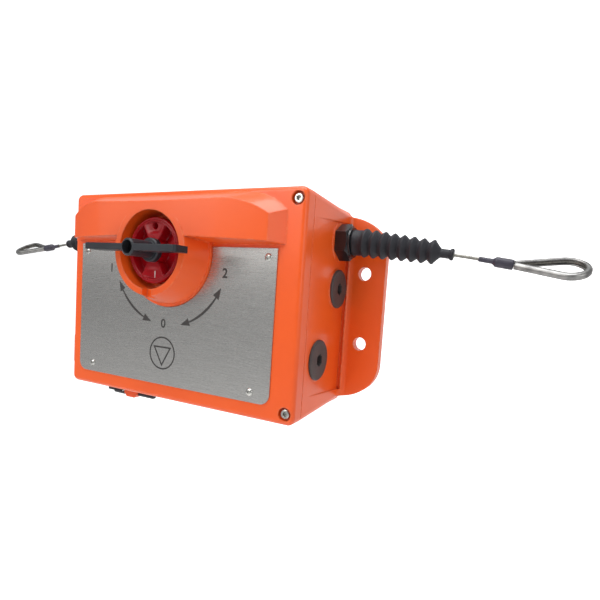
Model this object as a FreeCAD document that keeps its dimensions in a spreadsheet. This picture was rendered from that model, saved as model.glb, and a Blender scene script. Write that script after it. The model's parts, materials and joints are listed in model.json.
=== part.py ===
import FreeCAD, Part

# Rope pull switch: a cast case with a hinged cover, two rope ends that draw a rack
# from either side, and a dial on the front that the rack turns through a pinion.
#
# Frame: +X right, -Y towards the person in front, +Z up, millimetres. The origin is
# the middle of the four mounting holes, on the plane of the wall behind the case.

import math
import os

import Sketcher
from FreeCAD import Placement, Rotation, Vector

doc = FreeCAD.newDocument("RopePullSwitch")

# Driving dimensions: name, number, meaning

SIZES = [
    ("case_half_wide", 150.0, "middle of the case to its side walls"),
    ("case_half_high", 105.5, "middle of the case to its top at the parting line"),
    ("case_deep", 116.0, "wall plane to the flat front of the cover"),
    ("cover_deep", 16.0, "parting line to the flat front of the cover"),
    ("case_draft", 3.0, "taper of top and bottom towards the back, degrees"),
    ("wall", 5.0, "wall of the casting"),
    ("floor_thick", 6.0, "back wall of the casting"),
    ("corner_round", 7.0, "rounding of the corners seen from the front"),
    ("front_round", 4.5, "rounding of the cover's front edges"),
    ("wing_reach", 42.0, "side wall to the edge of a mounting wing"),
    ("wing_thick", 10.0, "thickness of the mounting wings"),
    ("wing_drop", 4.459222, "back edge of the case's top down to a wing's upper end"),
    ("wing_corner", 34.0, "radius of the wings' outer corners"),
    ("wing_shoulder", 50.0, "radius that leads the wings into the case"),
    ("wing_bend", 50.0, "where one radius meets the other, degrees"),
    ("wing_root_round", 8.0, "fillet between side wall and wing"),
    ("mount_out", 20.0, "side wall to the mounting holes"),
    ("mount_high", 74.0, "spacing of the mounting holes up"),
    ("mount_hole", 7.0, "radius of a mounting hole"),
    ("panel_start", 0.02, "how deep the side panels lie at the front"),
    ("panel_sink", 2.0, "how deep the side panels lie at the back"),
    ("panel_front_in", 23.0, "top of the case to a side panel's edge, front end"),
    ("panel_back_in", 17.0, "top of the case to a side panel's edge, back end"),
    ("panel_front", 26.0, "front of the cover to the front end of a side panel"),
    ("cover_left_in", 11.0, "side wall to the cover's left edge"),
    ("cover_wall", 5.0, "front wall of the cover"),
    ("seam", 0.7, "bevel of the cover's back edges along the parting line"),
    ("cover_screw_in", 9.0, "side wall to the cover screws"),
    ("cover_screw_down", 10.5, "top of the case to the upper cover screw"),
    ("screw_head", 4.25, "radius of a cover screw's head"),
    ("screw_head_tall", 5.0, "height of a cover screw's head"),
    ("screw_shank", 2.5, "radius of a cover screw's shank"),
    ("screw_long", 18.0, "length of a cover screw's shank"),
    ("screw_play", 0.6, "clearance round the screw shanks"),
    ("counterbore", 6.2, "radius of the recess round a cover screw"),
    ("counterbore_deep", 6.0, "depth of that recess"),
    ("socket_flats", 4.0, "hexagon socket of a cover screw, across flats"),
    ("screw_boss", 8.0, "radius of the bosses that take the cover screws"),
    ("tap_spare", 4.0, "how much deeper those bosses are tapped than the screws reach"),
    ("hinge_in", 5.0, "side wall to the hinge line"),
    ("hinge_front", 4.5, "parting line to the hinge line"),
    ("hinge_down", 35.5, "top of the case to the middle of the upper hinge"),
    ("knuckle_long", 10.0, "length of a hinge knuckle"),
    ("hinge_pin", 2.0, "radius of a hinge pin"),
    ("pin_head", 1.2, "height of a hinge pin's head and how far it stands out"),
    ("dial_z", 44.5, "height of the dial's axis"),
    ("brow_in", 40.0, "side wall to the side of the brow's front face"),
    ("brow_low", 13.5, "dial axis to the lower edge of the brow's front"),
    ("brow_down", 16.0, "top of the case to the upper edge of the brow's front"),
    ("brow_round", 60.0, "radius of the brow's upper corners"),
    ("brow_corner", 41.0, "width of the brow's upper corners"),
    ("brow_under", 3.2, "how far the brow's underside drops towards the case"),
    ("brow_past", 0.8, "how far the brow's middle stands out past the collar's rim"),
    ("brow_spread", 22.0, "how much wider the brow is at its root, each side"),
    ("brow_rise", 12.0, "how much higher the brow is at its root"),
    ("brow_bow", 14.4, "how far the brow's front curves back towards its ends"),
    ("boss_root", 51.5, "radius of the dial collar at its root"),
    ("boss_rim", 43.6, "radius of the dial collar at its rim"),
    ("boss_tall", 28.4, "front of the cover to the collar's rim"),
    ("boss_bore", 37.3, "inner radius of the dial collar"),
    ("boss_floor", 3.5, "front of the cover to the bottom of the collar"),
    ("boss_foot", 54.0, "radius of the step round the collar"),
    ("boss_foot_tall", 3.0, "height of that step"),
    ("notch_wide", 12.0, "notch in the collar's rim"),
    ("notch_deep", 7.0, "depth of that notch"),
    ("plate_in", 25.0, "side wall to the face plate's side"),
    ("plate_top", 6.8, "dial axis to the face plate's upper edge, upwards"),
    ("plate_up", 15.6, "underside of the case to the face plate's lower edge"),
    ("plate_thick", 1.2, "thickness of the face plate"),
    ("plate_round", 10.0, "lower corners of the face plate"),
    ("plate_gap", 0.6, "gap between the face plate and the collar"),
    ("rivet_in", 9.0, "side of the face plate to its upper screws"),
    ("rivet_top", 1.3, "dial axis down to the upper face plate screws"),
    ("rivet_low_in", 21.0, "side of the face plate to its lower screws"),
    ("rivet_up", 9.4, "lower edge of the face plate to its lower screws"),
    ("rivet_head", 3.6, "radius of a face plate screw's head"),
    ("rivet_shank", 1.5, "radius of a face plate screw's shank"),
    ("rivet_long", 7.0, "length of a face plate screw's shank"),
    ("spindle", 6.0, "radius of the dial spindle and the rotor shaft"),
    ("bush_outer", 9.0, "outer radius of the bushes"),
    ("bush_flange", 12.0, "radius of a bush flange"),
    ("flange_thick", 1.5, "thickness of a bush flange"),
    ("step", 1.0, "small steps and bevels, and the reach of cuts past a face"),
    ("running_gap", 0.05, "radial clearance of what turns or slides"),
    ("seat_gap", 0.03, "radial clearance of what is pressed or screwed in"),
    ("free_gap", 0.4, "clearance between pieces that pass each other"),
    ("seal_thick", 4.0, "thickness of the spindle seal"),
    ("inner_boss", 15.0, "radius of the boss behind the cover's front"),
    ("inner_boss_past", 2.0, "parting line to the end of that boss"),
    ("tongue_wide", 11.6, "driving tongue of the spindle, across"),
    ("tongue_thick", 5.0, "driving tongue of the spindle, thickness"),
    ("tongue_gap", 0.3, "clearance of the tongue in its slot, each side"),
    ("tongue_long", 15.0, "length of the tongue"),
    ("slot_deep", 8.0, "slot in the rotor's head"),
    ("head_radius", 12.0, "radius of the rotor's head"),
    ("head_long", 20.0, "length of the rotor's head"),
    ("dial_radius", 31.6, "radius of the dial"),
    ("dial_front", 21.8, "front of the cover to the dial's front"),
    ("dial_thick", 14.0, "thickness of the dial"),
    ("dial_rim", 2.6, "width of the ring round the dial"),
    ("dial_sink", 7.0, "depth of the dial's side pockets"),
    ("lobe_outer", 13.5, "half width of a dial lobe at the ring"),
    ("lobe_inner", 5.5, "half width of a dial lobe near the axis"),
    ("lock_hole", 2.9, "radius of the hole in the upper lobe"),
    ("lock_hole_z", 23.0, "dial axis to the hole in the upper lobe"),
    ("handle_front", 54.0, "front of the cover to the handle's front"),
    ("hub_radius", 8.0, "radius of the handle's hub"),
    ("hub_bore", 6.2, "radius of the bore in the hub's front"),
    ("hub_bore_deep", 9.0, "depth of that bore"),
    ("collar_radius", 11.5, "radius of the collar behind the hub"),
    ("collar_long", 6.0, "length of that collar"),
    ("bar_half", 55.5, "half length of the handle's cross bar"),
    ("bar_deep", 18.0, "depth of the cross bar, front to back"),
    ("bar_thick", 6.0, "thickness of the cross bar"),
    ("bar_round", 2.5, "corner radius of the cross bar"),
    ("rope_rise", 22.0, "dial axis to the rope's axis, upwards"),
    ("rope_y", 34.0, "wall plane to the rope's axis"),
    ("gear_module", 2.0, "module of rack and pinion"),
    ("pinion_teeth", 16.0, "teeth of the pinion"),
    ("pinion_thick", 10.0, "face width of the pinion"),
    ("pinion_hub", 9.0, "radius of the pinion's hub"),
    ("rack_addendum", 1.7, "pitch line to the tips of the rack's teeth"),
    ("rack_teeth", 9.0, "teeth of the rack"),
    ("backlash", 0.3, "what is left off each tooth's thickness"),
    ("rack_half", 60.0, "half length of the rack bar"),
    ("rack_tall", 9.0, "height of the rack bar above its teeth"),
    ("rack_deep", 12.0, "depth of the rack bar"),
    ("rod_radius", 5.0, "radius of the pull rods"),
    ("rod_short", 1.5, "end of the gland's spigot to a pull rod's end"),
    ("rod_spigot", 3.5, "radius of a pull rod's threaded end"),
    ("rod_spigot_long", 10.0, "length of that end in the rack bar"),
    ("cam_radius", 28.0, "radius of the cam disc"),
    ("cam_thick", 6.0, "thickness of the cam disc"),
    ("cam_back", 48.0, "wall plane to the back of the cam disc"),
    ("cam_track", 18.0, "radius of the cam track at rest"),
    ("cam_gain", 4.0, "change of the track's radius from rest to trip"),
    ("trip_angle", 60.0, "turn from rest to trip, degrees"),
    ("track_run_on", 4.0, "how far the cam track runs on past a trip, degrees"),
    ("follower", 2.5, "radius of the follower pin"),
    ("bridge_back", 60.0, "wall plane to the back of the bearing bridge"),
    ("bridge_thick", 3.0, "thickness of the bearing bridge"),
    ("bridge_half", 56.0, "half length of the bearing bridge"),
    ("bridge_high", 24.0, "height of the bearing bridge"),
    ("pillar_x", 48.0, "middle of the case to a bridge pillar"),
    ("pillar", 6.0, "radius of a bridge pillar"),
    ("nut_flats", 32.0, "hexagon of a rope gland, across flats"),
    ("nut_thick", 12.5, "thickness of that hexagon"),
    ("thread_radius", 12.0, "radius of the gland's thread"),
    ("spigot", 11.0, "radius of the gland's spigot under the bellows"),
    ("spigot_long", 9.0, "length of that spigot"),
    ("locknut_flats", 30.0, "hexagon of the gland's inner nut"),
    ("locknut_thick", 5.0, "thickness of the gland's inner nut"),
    ("thread_end", 1.5, "how far the gland's thread passes its inner nut"),
    ("washer_ring", 15.0, "radius of the thin ring behind the bellows"),
    ("washer_thick", 2.0, "thickness of that ring"),
    ("fold_count", 8.0, "folds of a bellows"),
    ("fold_pitch", 9.4, "spacing of the folds"),
    ("fold_first", 14.2, "radius of the first fold"),
    ("fold_last", 11.4, "radius of the last fold"),
    ("fold_depth", 3.6, "depth of a fold"),
    ("bellows_cuff", 1.6, "thickness of the bellows' cuff"),
    ("bellows_bore", 6.3, "radius of the bellows inside"),
    ("bellows_tip_bore", 2.0, "radius of the bellows' neck inside"),
    ("fold_start", 2.0, "bend of the bellows to the top of the first fold"),
    ("bellows_neck", 4.2, "radius of the bellows' neck"),
    ("neck_start", 7.2, "top of the last fold to the bellows' neck"),
    ("bellows_neck_long", 8.0, "length of the neck"),
    ("bellows_lip", 5.4, "radius of the bellows' end lip"),
    ("bellows_lip_long", 3.5, "length of the end lip"),
    ("bellows_droop", 6.0, "fall of the bellows below level, degrees"),
    ("rope_radius", 1.5, "radius of the wire rope"),
    ("rope_gap", 0.1, "clearance round the rope in its fittings"),
    ("sleeve_start", 20.0, "last bend of the rope to the sleeve's thin end"),
    ("sleeve_thin", 2.3, "radius of the sleeve's thin part"),
    ("sleeve_thin_long", 12.0, "length of the thin part"),
    ("sleeve_thick", 4.6, "radius of the sleeve's thick part"),
    ("sleeve_thick_long", 17.0, "length of the thick part"),
    ("eye_radius", 14.4, "radius of the rope's bend round the thimble"),
    ("eye_reach", 45.0, "apex of the eye to the middle of its bend"),
    ("eye_tilt", 30.0, "turn of the eye about the rope, degrees"),
    ("eye_fall", 2.0, "fall of the eye below level, degrees"),
    ("eye_gap", 0.5, "sleeve's end to the middle of the rope's two starts in the eye"),
    ("thimble_web", 1.2, "thickness of the thimble's web"),
    ("thimble_lip", 1.7, "how far the thimble's cheeks reach past the rope's middle"),
    ("thimble_cheek", 1.3, "thickness of a cheek"),
    ("thimble_gap", 0.15, "clearance round the rope in the thimble"),
    ("thimble_start", 0.9, "sleeve's end to the start of the cheeks"),
    ("leg_gap", 0.08, "half the gap between the eye's two legs at the sleeve"),
    ("spring_outer", 10.0, "outer radius of a centring spring"),
    ("spring_wire", 1.0, "radius of the spring wire"),
    ("spring_turns", 7.0, "turns of a centring spring"),
    ("plug_radius", 19.6, "radius of a blanking plug's head"),
    ("plug_head", 2.4, "thickness of a blanking plug's head"),
    ("plug_thread", 15.8, "radius of a blanking plug's thread"),
    ("plug_long", 12.0, "length of a blanking plug's thread"),
    ("plug_socket", 11.0, "hexagon socket of a plug, across flats"),
    ("plug_socket_deep", 8.0, "depth of that socket"),
    ("upper_plug_y", 33.0, "wall plane to the upper blanking plug"),
    ("upper_plug_z", 19.4, "height of the upper blanking plug"),
    ("lower_plug_y", 72.0, "wall plane to the lower blanking plug"),
    ("lower_plug_z", -49.7, "height of the lower blanking plug"),
    ("plate_floor", 12.0, "wall plane to the back of the mounting plate"),
    ("mounting_thick", 2.5, "thickness of the mounting plate"),
    ("mounting_half", 70.0, "half width of the mounting plate"),
    ("mounting_low", -78.0, "lower edge of the mounting plate"),
    ("mounting_high", 22.0, "upper edge of the mounting plate"),
    ("stud", 5.0, "radius of the pads under the mounting plate"),
    ("block_inner", 20.0, "middle of the case to a contact block"),
    ("block_wide", 34.0, "width of a contact block"),
    ("block_low", -34.0, "lower edge of a contact block"),
    ("block_high", 14.0, "upper edge of a contact block"),
    ("block_deep", 36.0, "depth of a contact block"),
    ("slide_half", 30.0, "half length of the contact slide's cross bar"),
    ("slide_tall", 8.0, "height of that cross bar"),
    ("slide_thick", 5.0, "thickness of the contact slide"),
    ("slide_drop", 28.0, "follower pin down to the cross bar's middle"),
    ("stem_half", 6.0, "half width of the contact slide's stem"),
    ("terminal_count", 8.0, "ways of the terminal block"),
    ("terminal_pitch", 12.0, "spacing of the ways"),
    ("terminal_z", -60.0, "height of the terminal block's middle"),
    ("terminal_tall", 26.0, "height of the terminal block"),
    ("terminal_deep", 24.0, "depth of the terminal block"),
    ("earth_x", 96.0, "middle of the case to the earth screw, leftwards"),
    ("earth_z", -74.0, "height of the earth screw"),
    ("gasket_wide", 2.6, "width of the cover gasket"),
    ("gasket_tall", 2.0, "thickness of the cover gasket"),
    ("guide_x", 42.0, "middle of the case to a rack guide"),
    ("guide_wide", 12.0, "width of a rack guide"),
    ("guide_arm", 4.0, "thickness of a rack guide's arms"),
    ("ledge", 8.0, "depth of the ledge behind the cover's left edge"),
    ("seat_margin", 0.8, "how far the raised seats reach past nuts and plugs"),
    ("spindle_short", 3.0, "floor of the hub's bore to the spindle's end"),
    ("lug_x", 76.0, "middle of the case to the lug, leftwards"),
    ("lug_front", 33.0, "front of the cover to the lug's middle"),
    ("lug_wide", 20.0, "width of the lug"),
    ("lug_thick", 9.0, "thickness of the lug"),
    ("lug_drop", 16.5, "how far the lug hangs below the case"),
    ("lug_corner", 4.0, "bevel of the lug's lower corners"),
    ("lock_pin", 2.6, "radius of the locking pin"),
    ("lock_pin_drop", 12.0, "underside of the case to the locking pin"),
    ("lock_pin_left", 29.0, "how far the pin stands out of the lug, left"),
    ("lock_pin_right", 23.0, "how far the pin stands out of the lug, right"),
    ("lock_head", 3.8, "radius of the locking pin's head"),
    ("lock_head_long", 17.0, "length of that head"),
    ("lock_head_eye", 4.0, "lug to the cross hole in the head"),
    ("ring_band", 3.5, "width of the retaining ring"),
    ("ring_wire", 0.8, "radius of the tether ring's wire"),
    ("ring_hole", 2.4, "radius of the lug's hole for the ring"),
    ("ring_hole_drop", 5.6, "underside of the case to that hole"),
    ("head_hole", 1.8, "radius of the cross hole in the pin's head"),
]


class Size:
    """A length that carries its number and the sheet formula it comes from."""

    def __init__(self, number, formula):
        self.number = float(number)
        self.formula = formula

    def __add__(self, other):
        other = size(other)
        return Size(self.number + other.number, f"({self.formula} + {other.formula})")

    def __sub__(self, other):
        other = size(other)
        return Size(self.number - other.number, f"({self.formula} - {other.formula})")

    def __mul__(self, other):
        other = size(other)
        return Size(self.number * other.number, f"({self.formula} * {other.formula})")

    def __truediv__(self, other):
        other = size(other)
        return Size(self.number / other.number, f"({self.formula} / {other.formula})")

    def __neg__(self):
        return Size(-self.number, f"(0 - {self.formula})")

    def __radd__(self, other):
        return size(other) + self

    def __rsub__(self, other):
        return size(other) - self

    def __rmul__(self, other):
        return size(other) * self

    def __float__(self):
        return self.number


def size(value):
    """A plain number as a Size; a Size stays as it is."""
    if isinstance(value, Size):
        return value
    return Size(value, f"({float(value):.6f})")


def tangent(angle):
    return Size(math.tan(math.radians(angle.number)), f"tan({angle.formula})")


def sine(angle):
    return Size(math.sin(math.radians(angle.number)), f"sin({angle.formula})")


def cosine(angle):
    return Size(math.cos(math.radians(angle.number)), f"cos({angle.formula})")


def root(value):
    return Size(math.sqrt(value.number), f"sqrt({value.formula})")


class Sheet:
    """The driving dimensions as attributes, each a Size tied to its cell."""


def fill_sheet():
    sheet = doc.addObject("Spreadsheet::Sheet", "Sizes")
    named = Sheet()
    for row, (name, number, meaning) in enumerate(SIZES, start=1):
        sheet.set(f"A{row}", name)
        sheet.set(f"B{row}", str(number))
        sheet.set(f"C{row}", meaning)
        sheet.setAlias(f"B{row}", name)
    doc.recompute()
    for name, number, meaning in SIZES:
        setattr(named, name, Size(sheet.get(name), f"Sizes.{name}"))
    return named


S = fill_sheet()

# Places that several pieces share

FRONT = -S.case_deep
PARTING = FRONT + S.cover_deep
HINGE_X = S.case_half_wide - S.hinge_in
HINGE_Y = PARTING - S.hinge_front
HINGE_Z = S.case_half_high - S.hinge_down
KNUCKLE = S.hinge_front - S.free_gap
COVER_LEFT = S.case_half_wide - S.cover_left_in
SCREW_X = S.case_half_wide - S.cover_screw_in
SCREW_Z = S.case_half_high - S.cover_screw_down
BROW_HALF = S.case_half_wide - S.brow_in
BROW_TOP = S.case_half_high - S.brow_down
PLATE_HALF = S.case_half_wide - S.plate_in
PLATE_LOW = S.plate_up - S.case_half_high
WING_HALF = S.case_half_wide + S.wing_reach
BACK_DROP = tangent(S.case_draft) * (S.case_deep - S.cover_deep)
WING_HIGH = S.case_half_high - BACK_DROP - S.wing_drop
MOUNT_X = S.case_half_wide + S.mount_out
PANEL_FRONT_HALF = S.case_half_high - S.panel_front_in
PANEL_BACK_HALF = S.case_half_high - S.panel_back_in
ROPE_Z = S.dial_z + S.rope_rise
PITCH_RADIUS = S.gear_module * S.pinion_teeth / 2
SHAFT_HOLE = S.spindle + S.running_gap
COLLAR_BOTTOM = FRONT - S.boss_floor
DIAL_FRONT = FRONT - S.dial_front
DIAL_BACK = DIAL_FRONT + S.dial_thick
HANDLE_FRONT = FRONT - S.handle_front
INNER_BOSS_END = PARTING + S.inner_boss_past
HEAD_FRONT = -(S.bridge_back + S.bridge_thick + S.flange_thick + S.free_gap + S.head_long)
TONGUE_END = HEAD_FRONT + S.slot_deep - S.step
LUG_Y = FRONT + S.lug_front
REAR_BOSS = S.bush_outer + S.wall
REAR_BOSS_END = S.rope_y - S.pinion_thick / 2 - S.wall
BUSH_LONG = REAR_BOSS_END - S.floor_thick * 1.5
NUT_TOP = S.case_half_wide + S.nut_thick
SPIGOT_START = NUT_TOP + S.washer_thick
THREAD_INSIDE = S.wall + S.locknut_thick + S.thread_end
GLAND_END = S.case_half_wide - THREAD_INSIDE
ROD_END = SPIGOT_START + S.spigot_long - S.rod_short
PITCH_Z = S.dial_z + PITCH_RADIUS
RACK_ROOT = PITCH_Z + S.gear_module * 1.25
RACK_TIP = PITCH_Z - S.rack_addendum
CAM_FRONT = -(S.cam_back + S.cam_thick)
SLIDE_FRONT = -(S.cam_back - S.free_gap)
MOUNTING_FRONT = -(S.plate_floor + S.mounting_thick)
UNDERSIDE = -S.case_half_high + tangent(S.case_draft) * (S.lug_front - S.cover_deep)

TURN = {
    "X": Rotation(Vector(0, 1, 0), 90),
    "-X": Rotation(Vector(0, 1, 0), -90),
    "Y": Rotation(Vector(1, 0, 0), -90),
    "-Y": Rotation(Vector(1, 0, 0), 90),
    "Z": Rotation(),
}
PIECES = {}


def bind(item, prop, value):
    item.setExpression(prop, size(value).formula)


def place(item, at, along="Z"):
    """Put an item's origin at a point and turn its own Z axis along a direction."""
    turn = TURN[along] if isinstance(along, str) else along
    spots = [size(value) for value in at]
    item.Placement = Placement(Vector(*[float(spot) for spot in spots]), turn)
    for letter, spot in zip("xyz", spots):
        bind(item, f"Placement.Base.{letter}", spot)


def keep(item, node):
    """Name an item as a piece of the object."""
    item.Label = node
    PIECES[node] = item
    return item


# Bodies built from sketches


def new_body(name):
    return doc.addObject("PartDesign::Body", name)


def sketch(body, plane, offset=0, across=0, up=0):
    """A sketch on one of the body's own planes, moved along the plane's normal."""
    drawing = body.newObject("Sketcher::SketchObject", f"{body.Name}Sketch")
    wanted = [item for item in body.Origin.OriginFeatures if item.Role == plane]
    drawing.AttachmentSupport = [(wanted[0], "")]
    drawing.MapMode = "FlatFace"
    shift = [size(value) for value in (across, up, offset)]
    drawing.AttachmentOffset = Placement(Vector(*[float(value) for value in shift]), Rotation())
    for letter, value in zip("xyz", shift):
        bind(drawing, f"AttachmentOffset.Base.{letter}", value)
    return drawing


def fix_point(drawing, edge, end, x, y):
    """Tie one end of an edge to a pair of sizes."""
    for kind, value in (("DistanceX", x), ("DistanceY", y)):
        value = size(value)
        index = drawing.addConstraint(Sketcher.Constraint(kind, edge, end, float(value)))
        bind(drawing, f"Constraints[{index}]", value)


def outline(drawing, corners):
    """A closed outline of straight edges through the given corners."""
    spots = [(size(x), size(y)) for x, y in corners]
    points = [Vector(float(x), float(y), 0) for x, y in spots]
    first = drawing.GeometryCount
    count = len(points)
    for index in range(count):
        line = Part.LineSegment(points[index], points[(index + 1) % count])
        drawing.addGeometry(line, False)
    for index in range(count):
        following = first + (index + 1) % count
        join = Sketcher.Constraint("Coincident", first + index, 2, following, 1)
        drawing.addConstraint(join)
        fix_point(drawing, first + index, 1, *spots[index])


def curved_outline(drawing, corners, centres):
    """A closed outline whose edges listed in `centres` are arcs about a point, turning left."""
    spots = [(size(x), size(y)) for x, y in corners]
    points = [Vector(float(x), float(y), 0) for x, y in spots]
    first = drawing.GeometryCount
    count = len(points)
    for index in range(count):
        start, end = points[index], points[(index + 1) % count]
        if index not in centres:
            drawing.addGeometry(Part.LineSegment(start, end), False)
            continue
        middle_point = Vector(*[float(value) for value in centres[index]], 0)
        from_angle = math.atan2(start.y - middle_point.y, start.x - middle_point.x)
        to_angle = math.atan2(end.y - middle_point.y, end.x - middle_point.x)
        round_edge = Part.Circle(middle_point, Vector(0, 0, 1), (start - middle_point).Length)
        drawing.addGeometry(Part.ArcOfCircle(round_edge, from_angle, to_angle), False)
    for index in range(count):
        following = first + (index + 1) % count
        join = Sketcher.Constraint("Coincident", first + index, 2, following, 1)
        drawing.addConstraint(join)
        fix_point(drawing, first + index, 1, *spots[index])
    for index, centre in centres.items():
        chord = points[(index + 1) % count] - points[index]
        kind, value = ("DistanceX", centre[0])
        if abs(chord.x) > abs(chord.y):
            kind, value = ("DistanceY", centre[1])
        edge = first + index
        rule = drawing.addConstraint(Sketcher.Constraint(kind, edge, 3, float(size(value))))
        bind(drawing, f"Constraints[{rule}]", value)


def box_outline(drawing, left, right, low, high):
    outline(drawing, [(left, low), (right, low), (right, high), (left, high)])


def circle(drawing, x, y, radius):
    x, y, radius = size(x), size(y), size(radius)
    centre = Vector(float(x), float(y), 0)
    index = drawing.addGeometry(Part.Circle(centre, Vector(0, 0, 1), float(radius)), False)
    fix_point(drawing, index, 3, x, y)
    rule = drawing.addConstraint(Sketcher.Constraint("Radius", index, float(radius)))
    bind(drawing, f"Constraints[{rule}]", radius)


def hexagon(drawing, x, y, flats):
    """A regular hexagon given by its width across flats."""
    reach = size(flats) / math.sqrt(3)
    corners = []
    for step in range(6):
        angle = math.radians(60 * step)
        corners.append((x + reach * math.cos(angle), y + reach * math.sin(angle)))
    outline(drawing, corners)


def volume_of(body):
    doc.recompute()
    return body.Shape.Volume if not body.Shape.isNull() else 0.0


def pad(body, drawing, length, both=False, back=False):
    before = volume_of(body)
    feature = body.newObject("PartDesign::Pad", f"{body.Name}Pad")
    feature.Profile = drawing
    bind(feature, "Length", length)
    feature.Midplane = both
    feature.Reversed = back
    if volume_of(body) <= before:
        raise RuntimeError(f"{body.Name}: a pad added nothing")
    return feature


def pocket(body, drawing, length, both=False, back=False):
    """Cut a sketch away from the solid; the result must be smaller than before."""
    before = volume_of(body)
    feature = body.newObject("PartDesign::Pocket", f"{body.Name}Pocket")
    feature.Profile = drawing
    bind(feature, "Length", length)
    feature.Midplane = both
    feature.Reversed = back
    if volume_of(body) >= before:
        raise RuntimeError(f"{body.Name}: a pocket cut nothing")
    return feature


def turned(name, profile, at, along):
    """A piece turned on a lathe: its profile is (radius, height) pairs about its axis."""
    body = new_body(name)
    drawing = sketch(body, "XZ_Plane")
    outline(drawing, profile)
    feature = body.newObject("PartDesign::Revolution", f"{name}Revolution")
    feature.Profile = drawing
    feature.ReferenceAxis = (drawing, ["V_Axis"])
    feature.Angle = 360
    place(body, at, along)
    doc.recompute()
    return body


def tube_profile(inner, outer, low, high):
    return [(inner, low), (outer, low), (outer, high), (inner, high)]


def groove(body, drawing, axis):
    before = volume_of(body)
    feature = body.newObject("PartDesign::Groove", f"{body.Name}Groove")
    feature.Profile = drawing
    feature.ReferenceAxis = (drawing, [axis])
    feature.Angle = 360
    if volume_of(body) >= before:
        raise RuntimeError(f"{body.Name}: a groove cut nothing")
    return feature


def dress(body, kind, amount, wanted):
    """Fillet or chamfer the edges of the body's tip that a test picks."""
    doc.recompute()
    base = body.Tip
    shape = base.Shape
    names = [f"Edge{index}" for index, edge in enumerate(shape.Edges, start=1) if wanted(edge)]
    if not names:
        raise RuntimeError(f"{body.Name}: no edge to dress")
    feature = body.newObject(f"PartDesign::{kind}", f"{body.Name}{kind}")
    feature.Base = (base, names)
    bind(feature, "Radius" if kind == "Fillet" else "Size", amount)
    doc.recompute()
    if feature.Shape.isNull() or not feature.Shape.isValid():
        raise RuntimeError(f"{body.Name}: {kind} {amount.number} failed")
    return feature


def runs_along(edge, axis):
    """True for a straight edge parallel to an axis."""
    if not isinstance(edge.Curve, Part.Line):
        return False
    return abs(edge.Curve.Direction.dot(axis)) > 0.999


def near(value, wanted, slack=0.02):
    return abs(value - float(wanted)) < slack


def middle(edge):
    return edge.valueAt((edge.FirstParameter + edge.LastParameter) / 2)


# Pieces built from other pieces or from shapes


def fuse(name, items):
    item = doc.addObject("Part::MultiFuse", name)
    item.Shapes = items
    item.Refine = True
    return item


def mirrored(name, source):
    """The same piece on the other side of the middle plane."""
    item = doc.addObject("Part::Mirroring", name)
    item.Source = source
    item.Normal = Vector(1, 0, 0)
    item.Base = Vector(0, 0, 0)
    return item


def shaped(name, shape):
    item = doc.addObject("Part::Feature", name)
    item.Shape = shape
    return item


# Cover and what it carries


def brow_outline(body, offset, half, top, low):
    """Outline of the brow at one depth: straight sides with two large upper corners."""
    drawing = sketch(body, "XZ_Plane", offset)
    middle_x = half - S.brow_corner
    middle_z = top - S.brow_round
    drop = root(S.brow_round * S.brow_round - S.brow_corner * S.brow_corner)
    shoulder = middle_z + drop
    corners = [
        (-half, low),
        (half, low),
        (half, shoulder),
        (middle_x, top),
        (-middle_x, top),
        (-half, shoulder),
    ]
    curved_outline(drawing, corners, {2: (middle_x, middle_z), 4: (-middle_x, middle_z)})
    return drawing


def loft(body, kind, first, last):
    before = volume_of(body)
    feature = body.newObject(f"PartDesign::{kind}", f"{body.Name}{kind}")
    feature.Profile = first
    feature.Sections = [last]
    feature.Ruled = True
    after = volume_of(body)
    if (after <= before) == (kind == "AdditiveLoft"):
        raise RuntimeError(f"{body.Name}: a loft changed nothing")
    return feature


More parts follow.
